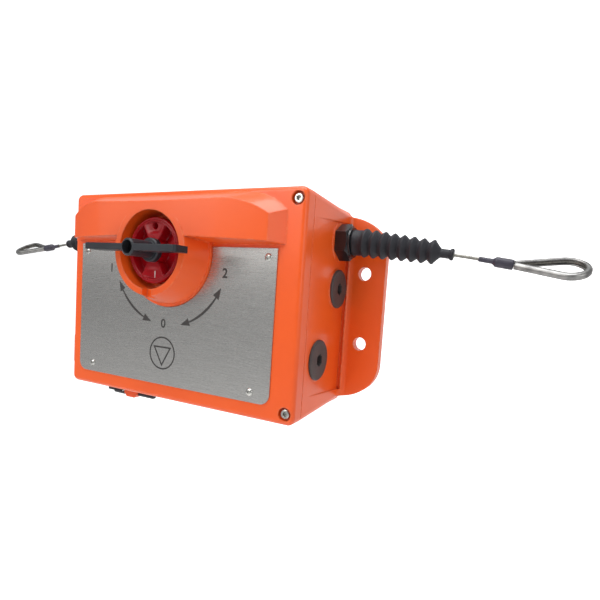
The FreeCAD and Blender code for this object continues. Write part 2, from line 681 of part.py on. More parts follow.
def front_cover():
    body = new_body("front_cover")
    rim = sketch(body, "XZ_Plane", -PARTING)
    box_outline(rim, -COVER_LEFT, S.case_half_wide, -S.case_half_high, S.case_half_high)
    pad(body, rim, S.cover_deep)
    dress(body, "Fillet", S.corner_round, lambda edge: runs_along(edge, Vector(0, 1, 0)))
    dress(body, "Fillet", S.front_round, lambda edge: near(middle(edge).y, FRONT))

    dress(body, "Chamfer", S.seam, lambda edge: near(middle(edge).y, PARTING))

    low = S.dial_z + S.brow_low
    foot = low - S.brow_under
    root_half = BROW_HALF + S.brow_spread
    root_top = BROW_TOP + S.brow_rise
    seat = brow_outline(body, -FRONT - S.cover_wall, root_half, root_top, foot)
    pad(body, seat, S.cover_wall)
    back = brow_outline(body, -FRONT, root_half, root_top, foot)
    brow_y = FRONT - S.boss_tall - S.brow_past
    front = brow_outline(body, S.step - brow_y, BROW_HALF, BROW_TOP, low)
    loft(body, "AdditiveLoft", back, front)
    bow_half = BROW_HALF + S.brow_spread / 2
    bow_radius = (bow_half * bow_half + S.brow_bow * S.brow_bow) / (S.brow_bow * 2)
    centre_y = brow_y + bow_radius
    side = root_half + S.step
    side_y = centre_y - root(bow_radius * bow_radius - side * side)
    bow = sketch(body, "XY_Plane", root_top + S.step)
    curved_outline(bow, [
        (-side, side_y),
        (side, side_y),
        (side, brow_y - 2 * S.step),
        (-side, brow_y - 2 * S.step),
    ], {0: (0, centre_y)})
    pocket(body, bow, root_top - foot + 2 * S.step)

    collar = sketch(body, "YZ_Plane", up=S.dial_z)
    rim_y = FRONT - S.boss_tall
    step_y = FRONT - S.boss_foot_tall
    root_y = FRONT + S.cover_wall / 2
    outline(collar, [
        (root_y, 0),
        (rim_y, 0),
        (rim_y, S.boss_rim),
        (step_y, S.boss_root),
        (step_y, S.boss_foot),
        (root_y, S.boss_foot),
    ])
    turn = body.newObject("PartDesign::Revolution", "front_coverCollar")
    turn.Profile = collar
    turn.ReferenceAxis = (collar, ["H_Axis"])
    turn.Angle = 360
    doc.recompute()

    bore = sketch(body, "XZ_Plane", S.step - brow_y)
    circle(bore, 0, S.dial_z, S.boss_bore)
    pocket(body, bore, S.boss_tall + S.brow_past + S.step - S.boss_floor)
    notch = sketch(body, "XZ_Plane", -rim_y)
    half = S.notch_wide / 2
    box_outline(notch, -half, half, S.dial_z - S.boss_foot, S.dial_z - S.boss_bore + S.step)
    pocket(body, notch, S.notch_deep)

    hollow = sketch(body, "XZ_Plane", -PARTING)
    corner_x = SCREW_X - S.screw_boss
    corner_z = SCREW_Z - S.screw_boss
    inner_z = S.case_half_high - S.wall
    inner_left = -COVER_LEFT + S.wall
    inner_right = S.case_half_wide - S.wall
    outline(hollow, [
        (inner_left, -inner_z),
        (corner_x, -inner_z),
        (corner_x, -corner_z),
        (inner_right, -corner_z),
        (inner_right, corner_z),
        (corner_x, corner_z),
        (corner_x, inner_z),
        (inner_left, inner_z),
    ])
    pocket(body, hollow, S.cover_deep - S.cover_wall, back=True)
    for hand in (1, -1):
        recess = sketch(body, "XZ_Plane", -PARTING)
        box_outline(recess, hand * (S.boss_foot + S.wall), hand * (BROW_HALF - S.wall),
                    low + S.wall, BROW_TOP - S.wall)
        pocket(body, recess, S.cover_deep + S.boss_tall - S.brow_bow, back=True)

    hub = sketch(body, "XZ_Plane", -INNER_BOSS_END)
    circle(hub, 0, S.dial_z, S.inner_boss)
    pad(body, hub, INNER_BOSS_END - FRONT - S.cover_wall / 2)
    shaft = sketch(body, "XZ_Plane", -COLLAR_BOTTOM)
    circle(shaft, 0, S.dial_z, S.bush_outer + S.seat_gap)
    pocket(body, shaft, INNER_BOSS_END - COLLAR_BOTTOM)

    for up in (SCREW_Z, -SCREW_Z):
        shank = sketch(body, "XZ_Plane", -FRONT)
        circle(shank, SCREW_X, up, S.screw_shank + S.running_gap)
        pocket(body, shank, S.cover_deep)
        recess = sketch(body, "XZ_Plane", -FRONT)
        circle(recess, SCREW_X, up, S.counterbore)
        pocket(body, recess, S.counterbore_deep)

    plate_holes = sketch(body, "XZ_Plane", -FRONT)
    for across, up in rivet_places():
        circle(plate_holes, across, up, S.rivet_shank + S.seat_gap)
    pocket(body, plate_holes, S.cover_wall)

    edge_x = -COVER_LEFT + S.step
    for up in (HINGE_Z, -HINGE_Z):
        knuckle = sketch(body, "XY_Plane", up - S.knuckle_long / 2)
        curved_outline(knuckle, [
            (-HINGE_X, HINGE_Y + KNUCKLE),
            (-HINGE_X, HINGE_Y - KNUCKLE),
            (edge_x, HINGE_Y - KNUCKLE),
            (edge_x, HINGE_Y + KNUCKLE),
        ], {0: (-HINGE_X, HINGE_Y)})
        pad(body, knuckle, S.knuckle_long)
        pin = sketch(body, "XY_Plane", up + S.knuckle_long / 2 + S.step)
        circle(pin, -HINGE_X, HINGE_Y, S.hinge_pin + S.running_gap)
        pocket(body, pin, S.knuckle_long + 2 * S.step)
    keep(body, "front_cover")


def rivet_places():
    """Where the face plate is screwed on: two above, two below."""
    upper = S.dial_z - S.rivet_top
    lower = PLATE_LOW + S.rivet_up
    upper_x = PLATE_HALF - S.rivet_in
    lower_x = PLATE_HALF - S.rivet_low_in
    return [(-upper_x, upper), (upper_x, upper), (-lower_x, lower), (lower_x, lower)]


def face_plate():
    body = new_body("face_plate")
    drawing = sketch(body, "XZ_Plane", -FRONT)
    top = S.dial_z + S.plate_top
    box_outline(drawing, -PLATE_HALF, PLATE_HALF, PLATE_LOW, top)
    pad(body, drawing, S.plate_thick)

    def lower_corner(edge):
        return runs_along(edge, Vector(0, 1, 0)) and middle(edge).z < 0

    dress(body, "Fillet", S.plate_round, lower_corner)
    opening = sketch(body, "XZ_Plane", -FRONT + S.plate_thick)
    circle(opening, 0, S.dial_z, S.boss_foot + S.plate_gap)
    pocket(body, opening, S.plate_thick)
    holes = sketch(body, "XZ_Plane", -FRONT + S.plate_thick)
    for across, up in rivet_places():
        circle(holes, across, up, S.rivet_shank + S.seat_gap)
    pocket(body, holes, S.plate_thick)
    keep(body, "face_plate")


def plate_screws():
    names = ["upper_left", "upper_right", "lower_left", "lower_right"]
    seat = FRONT - S.plate_thick
    dome = S.rivet_head * 0.5
    for name, (across, up) in zip(names, rivet_places()):
        profile = [
            (0, -S.rivet_long),
            (S.rivet_shank, -S.rivet_long),
            (S.rivet_shank, 0),
            (S.rivet_head, 0),
            (S.rivet_head * 0.85, dome * 0.6),
            (S.rivet_head * 0.5, dome),
            (0, dome),
        ]
        node = f"face_plate_screw_{name}"
        keep(turned(node, profile, (across, seat, up), "-Y"), node)


def cover_screws():
    for name, up in (("upper", SCREW_Z), ("lower", -SCREW_Z)):
        node = f"cover_screw_{name}"
        body = turned(node, [
            (0, -S.screw_long),
            (S.screw_shank, -S.screw_long),
            (S.screw_shank, 0),
            (S.screw_head, 0),
            (S.screw_head, S.screw_head_tall - S.step / 2),
            (S.screw_head - S.step / 2, S.screw_head_tall),
            (0, S.screw_head_tall),
        ], (SCREW_X, FRONT + S.counterbore_deep, up), "-Y")
        socket = sketch(body, "XY_Plane", S.screw_head_tall)
        hexagon(socket, 0, 0, S.socket_flats)
        pocket(body, socket, S.screw_head_tall * 0.6)
        keep(body, node)


def hinge_pins():
    reach = S.knuckle_long * 1.5 + S.free_gap
    for name, up in (("upper", HINGE_Z), ("lower", -HINGE_Z)):
        node = f"hinge_pin_{name}"
        body = turned(node, [
            (0, -reach),
            (S.hinge_pin, -reach),
            (S.hinge_pin, reach),
            (S.hinge_pin + S.pin_head, reach),
            (S.hinge_pin + S.pin_head, reach + S.pin_head),
            (0, reach + S.pin_head),
        ], (-HINGE_X, HINGE_Y, up), "Z")
        keep(body, node)


def spindle_fittings():
    """Bush and lip seal in the cover, round the dial spindle."""
    bush_long = S.bush_outer * 1.7
    keep(turned("spindle_bush", tube_profile(SHAFT_HOLE, S.bush_outer, 0, bush_long),
                (0, INNER_BOSS_END, S.dial_z), "-Y"), "spindle_bush")
    seal_back = INNER_BOSS_END - bush_long
    keep(turned("spindle_seal", [
        (SHAFT_HOLE, 0),
        (S.bush_outer, 0),
        (S.bush_outer, S.seal_thick),
        (S.bush_outer * 0.86, S.seal_thick),
        (S.bush_outer * 0.86, S.seal_thick * 0.4),
        (S.bush_outer * 0.77, S.seal_thick * 0.4),
        (SHAFT_HOLE, S.seal_thick),
    ], (0, seal_back, S.dial_z), "-Y"), "spindle_seal")


def dial():
    """Round knob with a ring at its edge and two raised lobes between sunk pockets."""
    body = new_body("dial")
    disc = sketch(body, "XZ_Plane", -DIAL_BACK)
    circle(disc, 0, S.dial_z, S.dial_radius)
    pad(body, disc, S.dial_thick)
    dress(body, "Chamfer", S.dial_rim * 0.4, lambda edge: near(middle(edge).y, DIAL_FRONT))
    inner = S.dial_radius - S.dial_rim * 1.6
    for side in (1, -1):
        sunk = sketch(body, "XZ_Plane", -DIAL_FRONT)
        lobe_z = root(inner * inner - S.lobe_outer * S.lobe_outer)
        corners = [
            (side * S.lobe_outer, S.dial_z - side * lobe_z),
            (side * S.lobe_outer, S.dial_z + side * lobe_z),
            (side * S.lobe_inner, S.dial_z + side * S.collar_radius),
            (side * S.lobe_inner, S.dial_z - side * S.collar_radius),
        ]
        curved_outline(sunk, corners, {0: (0, S.dial_z)})
        pocket(body, sunk, S.dial_sink)
    hole = sketch(body, "XZ_Plane", -DIAL_FRONT)
    circle(hole, 0, S.dial_z + S.lock_hole_z, S.lock_hole)
    pocket(body, hole, S.dial_thick)
    shaft = sketch(body, "XZ_Plane", -DIAL_FRONT)
    circle(shaft, 0, S.dial_z, S.spindle + S.seat_gap)
    pocket(body, shaft, S.dial_thick)
    keep(body, "dial")


def dial_spindle():
    """Shaft from the handle through the cover, with a driving tongue at its back end."""
    front = HANDLE_FRONT + S.hub_bore_deep + S.spindle_short
    tongue_front = TONGUE_END - S.tongue_long
    body = turned("dial_spindle", [
        (0, 0),
        (S.tongue_wide / 2, 0),
        (S.tongue_wide / 2, S.tongue_long),
        (S.spindle, S.tongue_long),
        (S.spindle, TONGUE_END - front),
        (0, TONGUE_END - front),
    ], (0, TONGUE_END, S.dial_z), "-Y")
    for side in (1, -1):
        flat = sketch(body, "XY_Plane", S.tongue_long)
        reach = S.tongue_wide
        near_edge = S.tongue_thick / 2
        box_outline(flat, -reach, reach, side * near_edge, side * reach)
        pocket(body, flat, S.tongue_long)
    keep(body, "dial_spindle")


def handle():
    """Cross bar on a hub, with a collar that rests on the dial."""
    collar_back = DIAL_FRONT
    hub_long = collar_back - HANDLE_FRONT
    body = turned("handle", [
        (0, 0),
        (S.collar_radius, 0),
        (S.collar_radius, S.collar_long - S.step),
        (S.collar_radius - S.step, S.collar_long),
        (S.hub_radius, S.collar_long),
        (S.hub_radius, hub_long - S.step),
        (S.hub_radius - S.step, hub_long),
        (0, hub_long),
    ], (0, collar_back, S.dial_z), "-Y")
    bar = sketch(body, "XY_Plane", hub_long - S.bar_deep)
    half = S.bar_thick / 2
    box_outline(bar, -S.bar_half, S.bar_half, -half, half)
    pad(body, bar, S.bar_deep)

    def bar_end(edge):
        return runs_along(edge, Vector(0, 1, 0)) and near(abs(middle(edge).x), S.bar_half)

    dress(body, "Fillet", S.bar_round, bar_end)
    bore = sketch(body, "XY_Plane", hub_long)
    circle(bore, 0, 0, S.hub_bore)
    pocket(body, bore, S.hub_bore_deep)
    shaft = sketch(body, "XY_Plane", hub_long)
    circle(shaft, 0, 0, S.spindle + S.seat_gap)
    pocket(body, shaft, hub_long)
    keep(body, "handle")


# Case and the mechanism inside


def wing_outline(drawing):
    """Back plate of the case: two wings whose corners are two radii in a row."""
    turn_x, turn_z = cosine(S.wing_bend), sine(S.wing_bend)
    side_z = WING_HIGH - S.wing_shoulder - (S.wing_corner - S.wing_shoulder) * turn_z
    outer_x = WING_HALF - S.wing_corner
    bend_x = outer_x + S.wing_corner * turn_x
    bend_z = side_z + S.wing_corner * turn_z
    inner_x = bend_x - S.wing_shoulder * turn_x
    inner_z = bend_z - S.wing_shoulder * turn_z
    corners = [
        (WING_HALF, -side_z),
        (WING_HALF, side_z),
        (bend_x, bend_z),
        (inner_x, WING_HIGH),
        (-inner_x, WING_HIGH),
        (-bend_x, bend_z),
        (-WING_HALF, side_z),
        (-WING_HALF, -side_z),
        (-bend_x, -bend_z),
        (-inner_x, -WING_HIGH),
        (inner_x, -WING_HIGH),
        (bend_x, -bend_z),
    ]
    centres = {
        1: (outer_x, side_z),
        2: (inner_x, inner_z),
        4: (-inner_x, inner_z),
        5: (-outer_x, side_z),
        7: (-outer_x, -side_z),
        8: (-inner_x, -inner_z),
        10: (inner_x, -inner_z),
        11: (outer_x, -side_z),
    }
    curved_outline(drawing, corners, centres)


def base_housing():
    body = new_body("base_housing")
    side = sketch(body, "YZ_Plane")
    back_z = S.case_half_high - BACK_DROP
    outline(side, [
        (0, -back_z),
        (0, back_z),
        (PARTING, S.case_half_high),
        (PARTING, -S.case_half_high),
    ])
    pad(body, side, 2 * S.case_half_wide, both=True)
    dress(body, "Fillet", S.corner_round, lambda edge: abs(edge.Curve.Direction.y) > 0.9)
    wings = sketch(body, "XZ_Plane")
    wing_outline(wings)
    pad(body, wings, S.wing_thick)

    def wing_root(edge):
        return (near(middle(edge).y, -S.wing_thick)
                and runs_along(edge, Vector(0, 0, 1))
                and abs(middle(edge).x) < float(S.case_half_wide + S.step))

    dress(body, "Fillet", S.wing_root_round, wing_root)

    panel_start = -FRONT - S.panel_front
    for hand in (1, -1):
        front = sketch(body, "XZ_Plane", panel_start)
        outer = hand * (S.case_half_wide + S.panel_sink)
        box_outline(front, hand * (S.case_half_wide - S.panel_start), outer,
                    -PANEL_FRONT_HALF, PANEL_FRONT_HALF)
        back = sketch(body, "XZ_Plane", S.wing_thick)
        box_outline(back, hand * (S.case_half_wide - S.panel_sink), outer,
                    -PANEL_BACK_HALF, PANEL_BACK_HALF)
        loft(body, "SubtractiveLoft", front, back)

    seat_deep = S.panel_sink + S.wall / 2
    for hand in (1, -1):
        seat = sketch(body, "YZ_Plane", hand * S.case_half_wide - (seat_deep if hand > 0 else 0))
        circle(seat, -S.rope_y, ROPE_Z, S.nut_flats / math.sqrt(3) + S.seat_margin)
        pad(body, seat, seat_deep)
    for across, up in plug_places():
        seat = sketch(body, "YZ_Plane", S.case_half_wide - seat_deep)
        circle(seat, across, up, S.plug_radius + S.seat_margin)
        pad(body, seat, seat_deep)

    hollow = sketch(body, "XZ_Plane", -PARTING)
    inner_x = S.case_half_wide - S.wall
    inner_z = back_z - S.wall
    box_outline(hollow, -inner_x, inner_x, -inner_z, inner_z)
    pocket(body, hollow, S.case_deep - S.cover_deep - S.floor_thick)

    def inner_corner(edge):
        return (runs_along(edge, Vector(0, 1, 0))
                and near(abs(middle(edge).x), inner_x)
                and near(abs(middle(edge).z), inner_z))

    dress(body, "Fillet", S.corner_round, inner_corner)

    ledge = sketch(body, "XZ_Plane", -PARTING - S.ledge)
    ledge_z = inner_z + S.step
    box_outline(ledge, -S.case_half_wide + S.step, -COVER_LEFT + S.wall, -ledge_z, ledge_z)
    pad(body, ledge, S.ledge)

    holes = sketch(body, "YZ_Plane")
    circle(holes, -S.rope_y, ROPE_Z, S.thread_radius + S.seat_gap)
    pocket(body, holes, 2 * (S.case_half_wide + S.step), both=True)
    plug_holes = sketch(body, "YZ_Plane", S.case_half_wide + S.step)
    for across, up in plug_places():
        circle(plug_holes, across, up, S.plug_thread + S.seat_gap)
    pocket(body, plug_holes, S.wall + 3 * S.step)

    boss_long = -PARTING - S.floor_thick + S.step
    screw_deep = S.screw_long - (S.cover_deep - S.counterbore_deep) + S.tap_spare
    for up in (SCREW_Z, -SCREW_Z):
        boss = sketch(body, "XZ_Plane", -PARTING - boss_long)
        circle(boss, SCREW_X, up, S.screw_boss)
        pad(body, boss, boss_long)
        thread = sketch(body, "XZ_Plane", -PARTING)
        circle(thread, SCREW_X, up, S.screw_shank + S.screw_play)
        pocket(body, thread, screw_deep)

    mounts = sketch(body, "XZ_Plane", S.wing_thick)
    for across in (-MOUNT_X, MOUNT_X):
        for up in (-S.mount_high / 2, S.mount_high / 2):
            circle(mounts, across, up, S.mount_hole)
    pocket(body, mounts, S.wing_thick)

    floor = S.floor_thick - S.step
    rear_boss = sketch(body, "XZ_Plane", floor)
    circle(rear_boss, 0, S.dial_z, REAR_BOSS)
    pad(body, rear_boss, REAR_BOSS_END - floor)
    bush_hole = sketch(body, "XZ_Plane", REAR_BOSS_END)
    circle(bush_hole, 0, S.dial_z, S.bush_outer + S.seat_gap)
    pocket(body, bush_hole, BUSH_LONG)

    pillars = sketch(body, "XZ_Plane", floor)
    for across in (-S.pillar_x, S.pillar_x):
        circle(pillars, across, S.dial_z, S.pillar)
    pad(body, pillars, S.bridge_back - floor)
    taps = sketch(body, "XZ_Plane", S.bridge_back)
    for across in (-S.pillar_x, S.pillar_x):
        circle(taps, across, S.dial_z, S.screw_shank + S.seat_gap)
    pocket(body, taps, S.screw_long)

    pads = sketch(body, "XZ_Plane", floor)
    for across, up in mounting_screw_places():
        circle(pads, across, up, S.stud)
    pad(body, pads, S.plate_floor - floor)
    earth = sketch(body, "XZ_Plane", floor)
    circle(earth, -S.earth_x, S.earth_z, S.stud + S.step)
    pad(body, earth, S.plate_floor - floor)
    earth_tap = sketch(body, "XZ_Plane", S.plate_floor)
    circle(earth_tap, -S.earth_x, S.earth_z, S.screw_shank + S.seat_gap)
    pocket(body, earth_tap, S.plate_floor - S.floor_thick / 2)

    groove_drawing = sketch(body, "XZ_Plane", -PARTING)
    gasket_outline(groove_drawing, S.seat_gap)
    pocket(body, groove_drawing, S.gasket_tall)

    for up in (HINGE_Z, -HINGE_Z):
        for step in (-1, 1):
            low = up + step * (S.knuckle_long + S.free_gap) - S.knuckle_long / 2
            knuckle = sketch(body, "XY_Plane", low)
            curved_outline(knuckle, [
                (-HINGE_X - KNUCKLE, HINGE_Y),
                (-HINGE_X + KNUCKLE, HINGE_Y),
                (-HINGE_X + KNUCKLE, PARTING + S.step),
                (-HINGE_X - KNUCKLE, PARTING + S.step),
            ], {0: (-HINGE_X, HINGE_Y)})
            pad(body, knuckle, S.knuckle_long)
        pin = sketch(body, "XY_Plane", up + S.knuckle_long * 2)
        circle(pin, -HINGE_X, HINGE_Y, S.hinge_pin + S.running_gap)
        pocket(body, pin, S.knuckle_long * 4)

    lug = sketch(body, "XZ_Plane", -FRONT - S.lug_front - S.lug_thick / 2)
    left = -S.lug_x - S.lug_wide / 2
    right = -S.lug_x + S.lug_wide / 2
    bottom = UNDERSIDE - S.lug_drop
    outline(lug, [
        (left, UNDERSIDE + S.wall / 2),
        (left, bottom + S.lug_corner),
        (left + S.lug_corner, bottom),
        (right - S.lug_corner, bottom),
        (right, bottom + S.lug_corner),
        (right, UNDERSIDE + S.wall / 2),
    ])
    pad(body, lug, S.lug_thick)
    eye = sketch(body, "XZ_Plane", -FRONT - S.lug_front + S.lug_thick)
    circle(eye, -S.lug_x, UNDERSIDE - S.ring_hole_drop, S.ring_hole)
    pocket(body, eye, 2 * S.lug_thick)
    pin_hole = sketch(body, "YZ_Plane", right + S.step)
    circle(pin_hole, LUG_Y, UNDERSIDE - S.lock_pin_drop, S.lock_pin + S.seat_gap)
    pocket(body, pin_hole, S.lug_wide + 2 * S.step)
    keep(body, "base_housing")


def plug_places():
    """Cable entries in the right wall, as wall-plane distance and height."""
    return [
        (-S.upper_plug_y, S.upper_plug_z),
        (-S.lower_plug_y, S.lower_plug_z),
    ]


def mounting_screw_places():
    across = S.mounting_half - 2 * S.stud
    low = S.mounting_low + 2 * S.stud
    high = S.mounting_high - 2 * S.stud
    return [(-across, low), (across, low), (-across, high), (across, high)]


def rounded_box(drawing, left, right, low, high, radius):
    curved_outline(drawing, [
        (left + radius, low),
        (right - radius, low),
        (right, low + radius),
        (right, high - radius),
        (right - radius, high),
        (left + radius, high),
        (left, high - radius),
        (left, low + radius),
    ], {
        1: (right - radius, low + radius),
        3: (right - radius, high - radius),
        5: (left + radius, high - radius),
        7: (left + radius, low + radius),
    })


def gasket_outline(drawing, extra):
    """The gasket's ring on the rim; `extra` widens it into the groove it lies in."""
    inset = (S.wall - S.gasket_wide) / 2
    outer_radius = S.corner_round - inset
    for step, radius in ((-extra, outer_radius), (S.gasket_wide + extra, S.gasket_wide)):
        rounded_box(
            drawing,
            -COVER_LEFT + inset + step,
            S.case_half_wide - inset - step,
            -S.case_half_high + inset + step,
            S.case_half_high - inset - step,
            radius,
        )


def cover_gasket():
    body = new_body("cover_gasket")
    ring = sketch(body, "XZ_Plane", -PARTING - S.gasket_tall)
    gasket_outline(ring, size(0))
    pad(body, ring, S.gasket_tall)
    keep(body, "cover_gasket")


def blanking_plugs():
    for name, (across, up) in zip(("upper", "lower"), plug_places()):
        node = f"blanking_plug_{name}"
        top = S.plug_long + S.plug_head
        body = turned(node, [
            (0, 0),
            (S.plug_thread, 0),
            (S.plug_thread, S.plug_long),
            (S.plug_radius, S.plug_long),
            (S.plug_radius, top - S.step),
            (S.plug_radius - S.step, top),
            (0, top),
        ], (S.case_half_wide - S.plug_long, across, up), "X")
        socket = sketch(body, "XY_Plane", top)
        hexagon(socket, 0, 0, S.plug_socket)
        pocket(body, socket, S.plug_socket_deep)
        keep(body, node)


def rotor_bearings():
    """Bushes of the rotor shaft, the bridge that holds the front one, and its screws."""
    rear = turned("rear_bush", tube_profile(SHAFT_HOLE, S.bush_outer, 0, BUSH_LONG),
                  (0, -(REAR_BOSS_END - BUSH_LONG), S.dial_z), "-Y")
    keep(rear, "rear_bush")
    front = turned("bridge_bush", [
        (SHAFT_HOLE, 0),
        (S.bush_outer, 0),
        (S.bush_outer, S.bridge_thick),
        (S.bush_flange, S.bridge_thick),
        (S.bush_flange, S.bridge_thick + S.flange_thick),
        (SHAFT_HOLE, S.bridge_thick + S.flange_thick),
    ], (0, -S.bridge_back, S.dial_z), "-Y")
    keep(front, "bridge_bush")

    bridge = new_body("bearing_bridge")
    bar = sketch(bridge, "XZ_Plane", S.bridge_back)
    half = S.bridge_high / 2
    rounded_box(bar, -S.bridge_half, S.bridge_half, S.dial_z - half, S.dial_z + half,
                S.bridge_half - S.pillar_x)
    pad(bridge, bar, S.bridge_thick)
    holes = sketch(bridge, "XZ_Plane", S.bridge_back + S.bridge_thick)
    circle(holes, 0, S.dial_z, S.bush_outer + S.seat_gap)
    circle(holes, -S.pillar_x, S.dial_z, S.screw_shank + S.seat_gap)
    circle(holes, S.pillar_x, S.dial_z, S.screw_shank + S.seat_gap)
    pocket(bridge, holes, S.bridge_thick)
    keep(bridge, "bearing_bridge")

    for name, hand in (("left", -1), ("right", 1)):
        node = f"bridge_screw_{name}"
        seat = -(S.bridge_back + S.bridge_thick)
        screw = turned(node, [
            (0, -S.screw_long),
            (S.screw_shank, -S.screw_long),
            (S.screw_shank, 0),
            (S.screw_head, 0),
            (S.screw_head, S.screw_shank),
            (0, S.screw_shank),
        ], (hand * S.pillar_x, seat, S.dial_z), "-Y")
        keep(screw, node)


def rotor_shaft():
    """Shaft whose front head has a slot across it for the spindle's tongue."""
    back = -(REAR_BOSS_END - BUSH_LONG) - S.step
    head_back = HEAD_FRONT + S.head_long
    body = turned("rotor_shaft", [
        (0, 0),
        (S.spindle, 0),
        (S.spindle, back - head_back),
        (S.head_radius, back - head_back),
        (S.head_radius, back - HEAD_FRONT),
        (0, back - HEAD_FRONT),
    ], (0, back, S.dial_z), "-Y")
    slot = sketch(body, "XY_Plane", back - HEAD_FRONT)
    half = S.tongue_thick / 2 + S.tongue_gap
    past = S.head_radius + S.step
    box_outline(slot, -past, past, -half, half)
    pocket(body, slot, S.slot_deep)
    keep(body, "rotor_shaft")


def involute_point(radius, base_radius, half_angle, side, centre_angle):
    """Point of a tooth flank: half_angle + inv(20 degrees) - inv(acos(base / radius))."""
    pressure = math.acos(min(1.0, base_radius / radius))
    start = math.radians(20)
    lean = half_angle + (math.tan(start) - start) - (math.tan(pressure) - pressure)
    angle = centre_angle + side * lean
    return Vector(radius * math.cos(angle), radius * math.sin(angle), 0)


def pinion():
    """Spur gear: each tooth is two involute flanks between its root and its tip."""
    pitch = float(PITCH_RADIUS)
    teeth = int(float(S.pinion_teeth))
    module = float(S.gear_module)
    base = pitch * math.cos(math.radians(20))
    tip = pitch + module
    bottom = pitch - 1.25 * module
    half_angle = (math.pi * module / 2 - float(S.backlash)) / 2 / pitch
    flank = max(base, bottom + 0.01)
    edges = []
    previous = None
    first = None
    for tooth in range(teeth):
        centre = math.pi / 2 + (tooth + 0.5) * 2 * math.pi / teeth
        rising = [involute_point(radius, base, half_angle, -1, centre)
                  for radius in (flank, (flank + tip) / 2, tip)]
        falling = [involute_point(radius, base, half_angle, 1, centre)
                   for radius in (tip, (flank + tip) / 2, flank)]
        foot_in = rising[0] * (bottom / flank)
        foot_out = falling[2] * (bottom / flank)
        if previous is not None:
            edges.append(Part.LineSegment(previous, foot_in))
        else:
            first = foot_in
        edges.append(Part.LineSegment(foot_in, rising[0]))
        edges.append(Part.Arc(*rising))
        edges.append(Part.LineSegment(rising[2], falling[0]))
        edges.append(Part.Arc(*falling))
        edges.append(Part.LineSegment(falling[2], foot_out))
        previous = foot_out
    edges.append(Part.LineSegment(previous, first))
    wire = Part.Wire([edge.toShape() for edge in edges])
    hub_back = -float(REAR_BOSS_END + S.free_gap)
    toothed_back = -float(S.rope_y - S.pinion_thick / 2)
    hub_long = float(S.cam_back) + hub_back
    gear = Part.Face(wire).extrude(Vector(0, 0, float(S.pinion_thick)))
    gear.translate(Vector(0, 0, hub_back - toothed_back))
    hub = Part.makeCylinder(float(S.pinion_hub), hub_long)
    bore = Part.makeCylinder(float(S.spindle + S.seat_gap), hub_long)
    item = shaped("pinion", gear.fuse(hub).cut(bore).removeSplitter())
    place(item, (0, hub_back, S.dial_z), "-Y")
    keep(item, "pinion")


def track_point(turn, offset):
    """Point of the cam track for a turn of the rotor, moved sideways by an offset."""
    gain = float(S.cam_gain) / math.radians(float(S.trip_angle))
    radius = float(S.cam_track) + gain * turn
    angle = -math.pi / 2 - turn
    ahead = math.atan2(gain, radius)
    point = Vector(radius * math.cos(angle), radius * math.sin(angle), 0)
    outward = Vector(math.cos(angle + ahead), math.sin(angle + ahead), 0)
    return point + outward * offset


def cam_disc():
    """Disc with a spiral track: its radius grows evenly with the turn."""
    width = float(S.follower) + float(S.free_gap) / 2
    limit = math.radians(float(S.trip_angle + S.track_run_on))
    turns = [-limit + step * limit / 4 for step in range(9)]
    outer = Part.BSplineCurve()
    outer.interpolate([track_point(turn, width) for turn in turns])
    inner = Part.BSplineCurve()
    inner.interpolate([track_point(turn, -width) for turn in reversed(turns)])

    def end_cap(turn, sign):
        middle_point = track_point(turn, 0)
        start = track_point(turn, sign * width)
        end = track_point(turn, -sign * width)
        along = (end - start).cross(Vector(0, 0, 1)).normalize()
        return Part.Arc(start, middle_point - along * width, end)

    track = Part.Wire([
        outer.toShape(),
        end_cap(limit, 1).toShape(),
        inner.toShape(),
        end_cap(-limit, -1).toShape(),
    ])
    thick = float(S.cam_thick)
    disc = Part.makeCylinder(float(S.cam_radius), thick)
    slot = Part.Face(track).extrude(Vector(0, 0, thick))
    bore = Part.makeCylinder(float(S.spindle + S.seat_gap), thick)
    item = shaped("cam_disc", disc.cut(slot).cut(bore))
    place(item, (0, -S.cam_back, S.dial_z), "-Y")
    keep(item, "cam_disc")


def retaining_ring():
    inner = S.spindle + S.seat_gap
    ring = turned("retaining_ring", tube_profile(inner, inner + S.ring_band, 0, S.flange_thick),
                  (0, CAM_FRONT, S.dial_z), "-Y")
    slit = sketch(ring, "XY_Plane", S.flange_thick)
    half = S.ring_band / 2
    box_outline(slit, -half, half, 0, inner + S.ring_band + S.step)
    pocket(ring, slit, S.flange_thick)
    keep(ring, "retaining_ring")


def contact_slide():
    """Cross bar on a stem, moved up and down by a pin that runs in the cam track."""
    body = new_body("contact_slide")
    pin_z = S.dial_z - S.cam_track
    bar_z = pin_z - S.slide_drop
    half = S.slide_tall / 2
    bar = sketch(body, "XZ_Plane", -SLIDE_FRONT - S.slide_thick)
    outline(bar, [
        (-S.slide_half, bar_z - half),
        (S.slide_half, bar_z - half),
        (S.slide_half, bar_z + half),
        (S.stem_half, bar_z + half),
        (S.stem_half, pin_z + S.follower + S.step),
        (-S.stem_half, pin_z + S.follower + S.step),
        (-S.stem_half, bar_z + half),
        (-S.slide_half, bar_z + half),
    ])
    pad(body, bar, S.slide_thick)
    pin = sketch(body, "XZ_Plane", -SLIDE_FRONT)
    circle(pin, 0, pin_z, S.follower)
    pad(body, pin, S.cam_thick + S.free_gap + S.step)
    keep(body, "contact_slide")


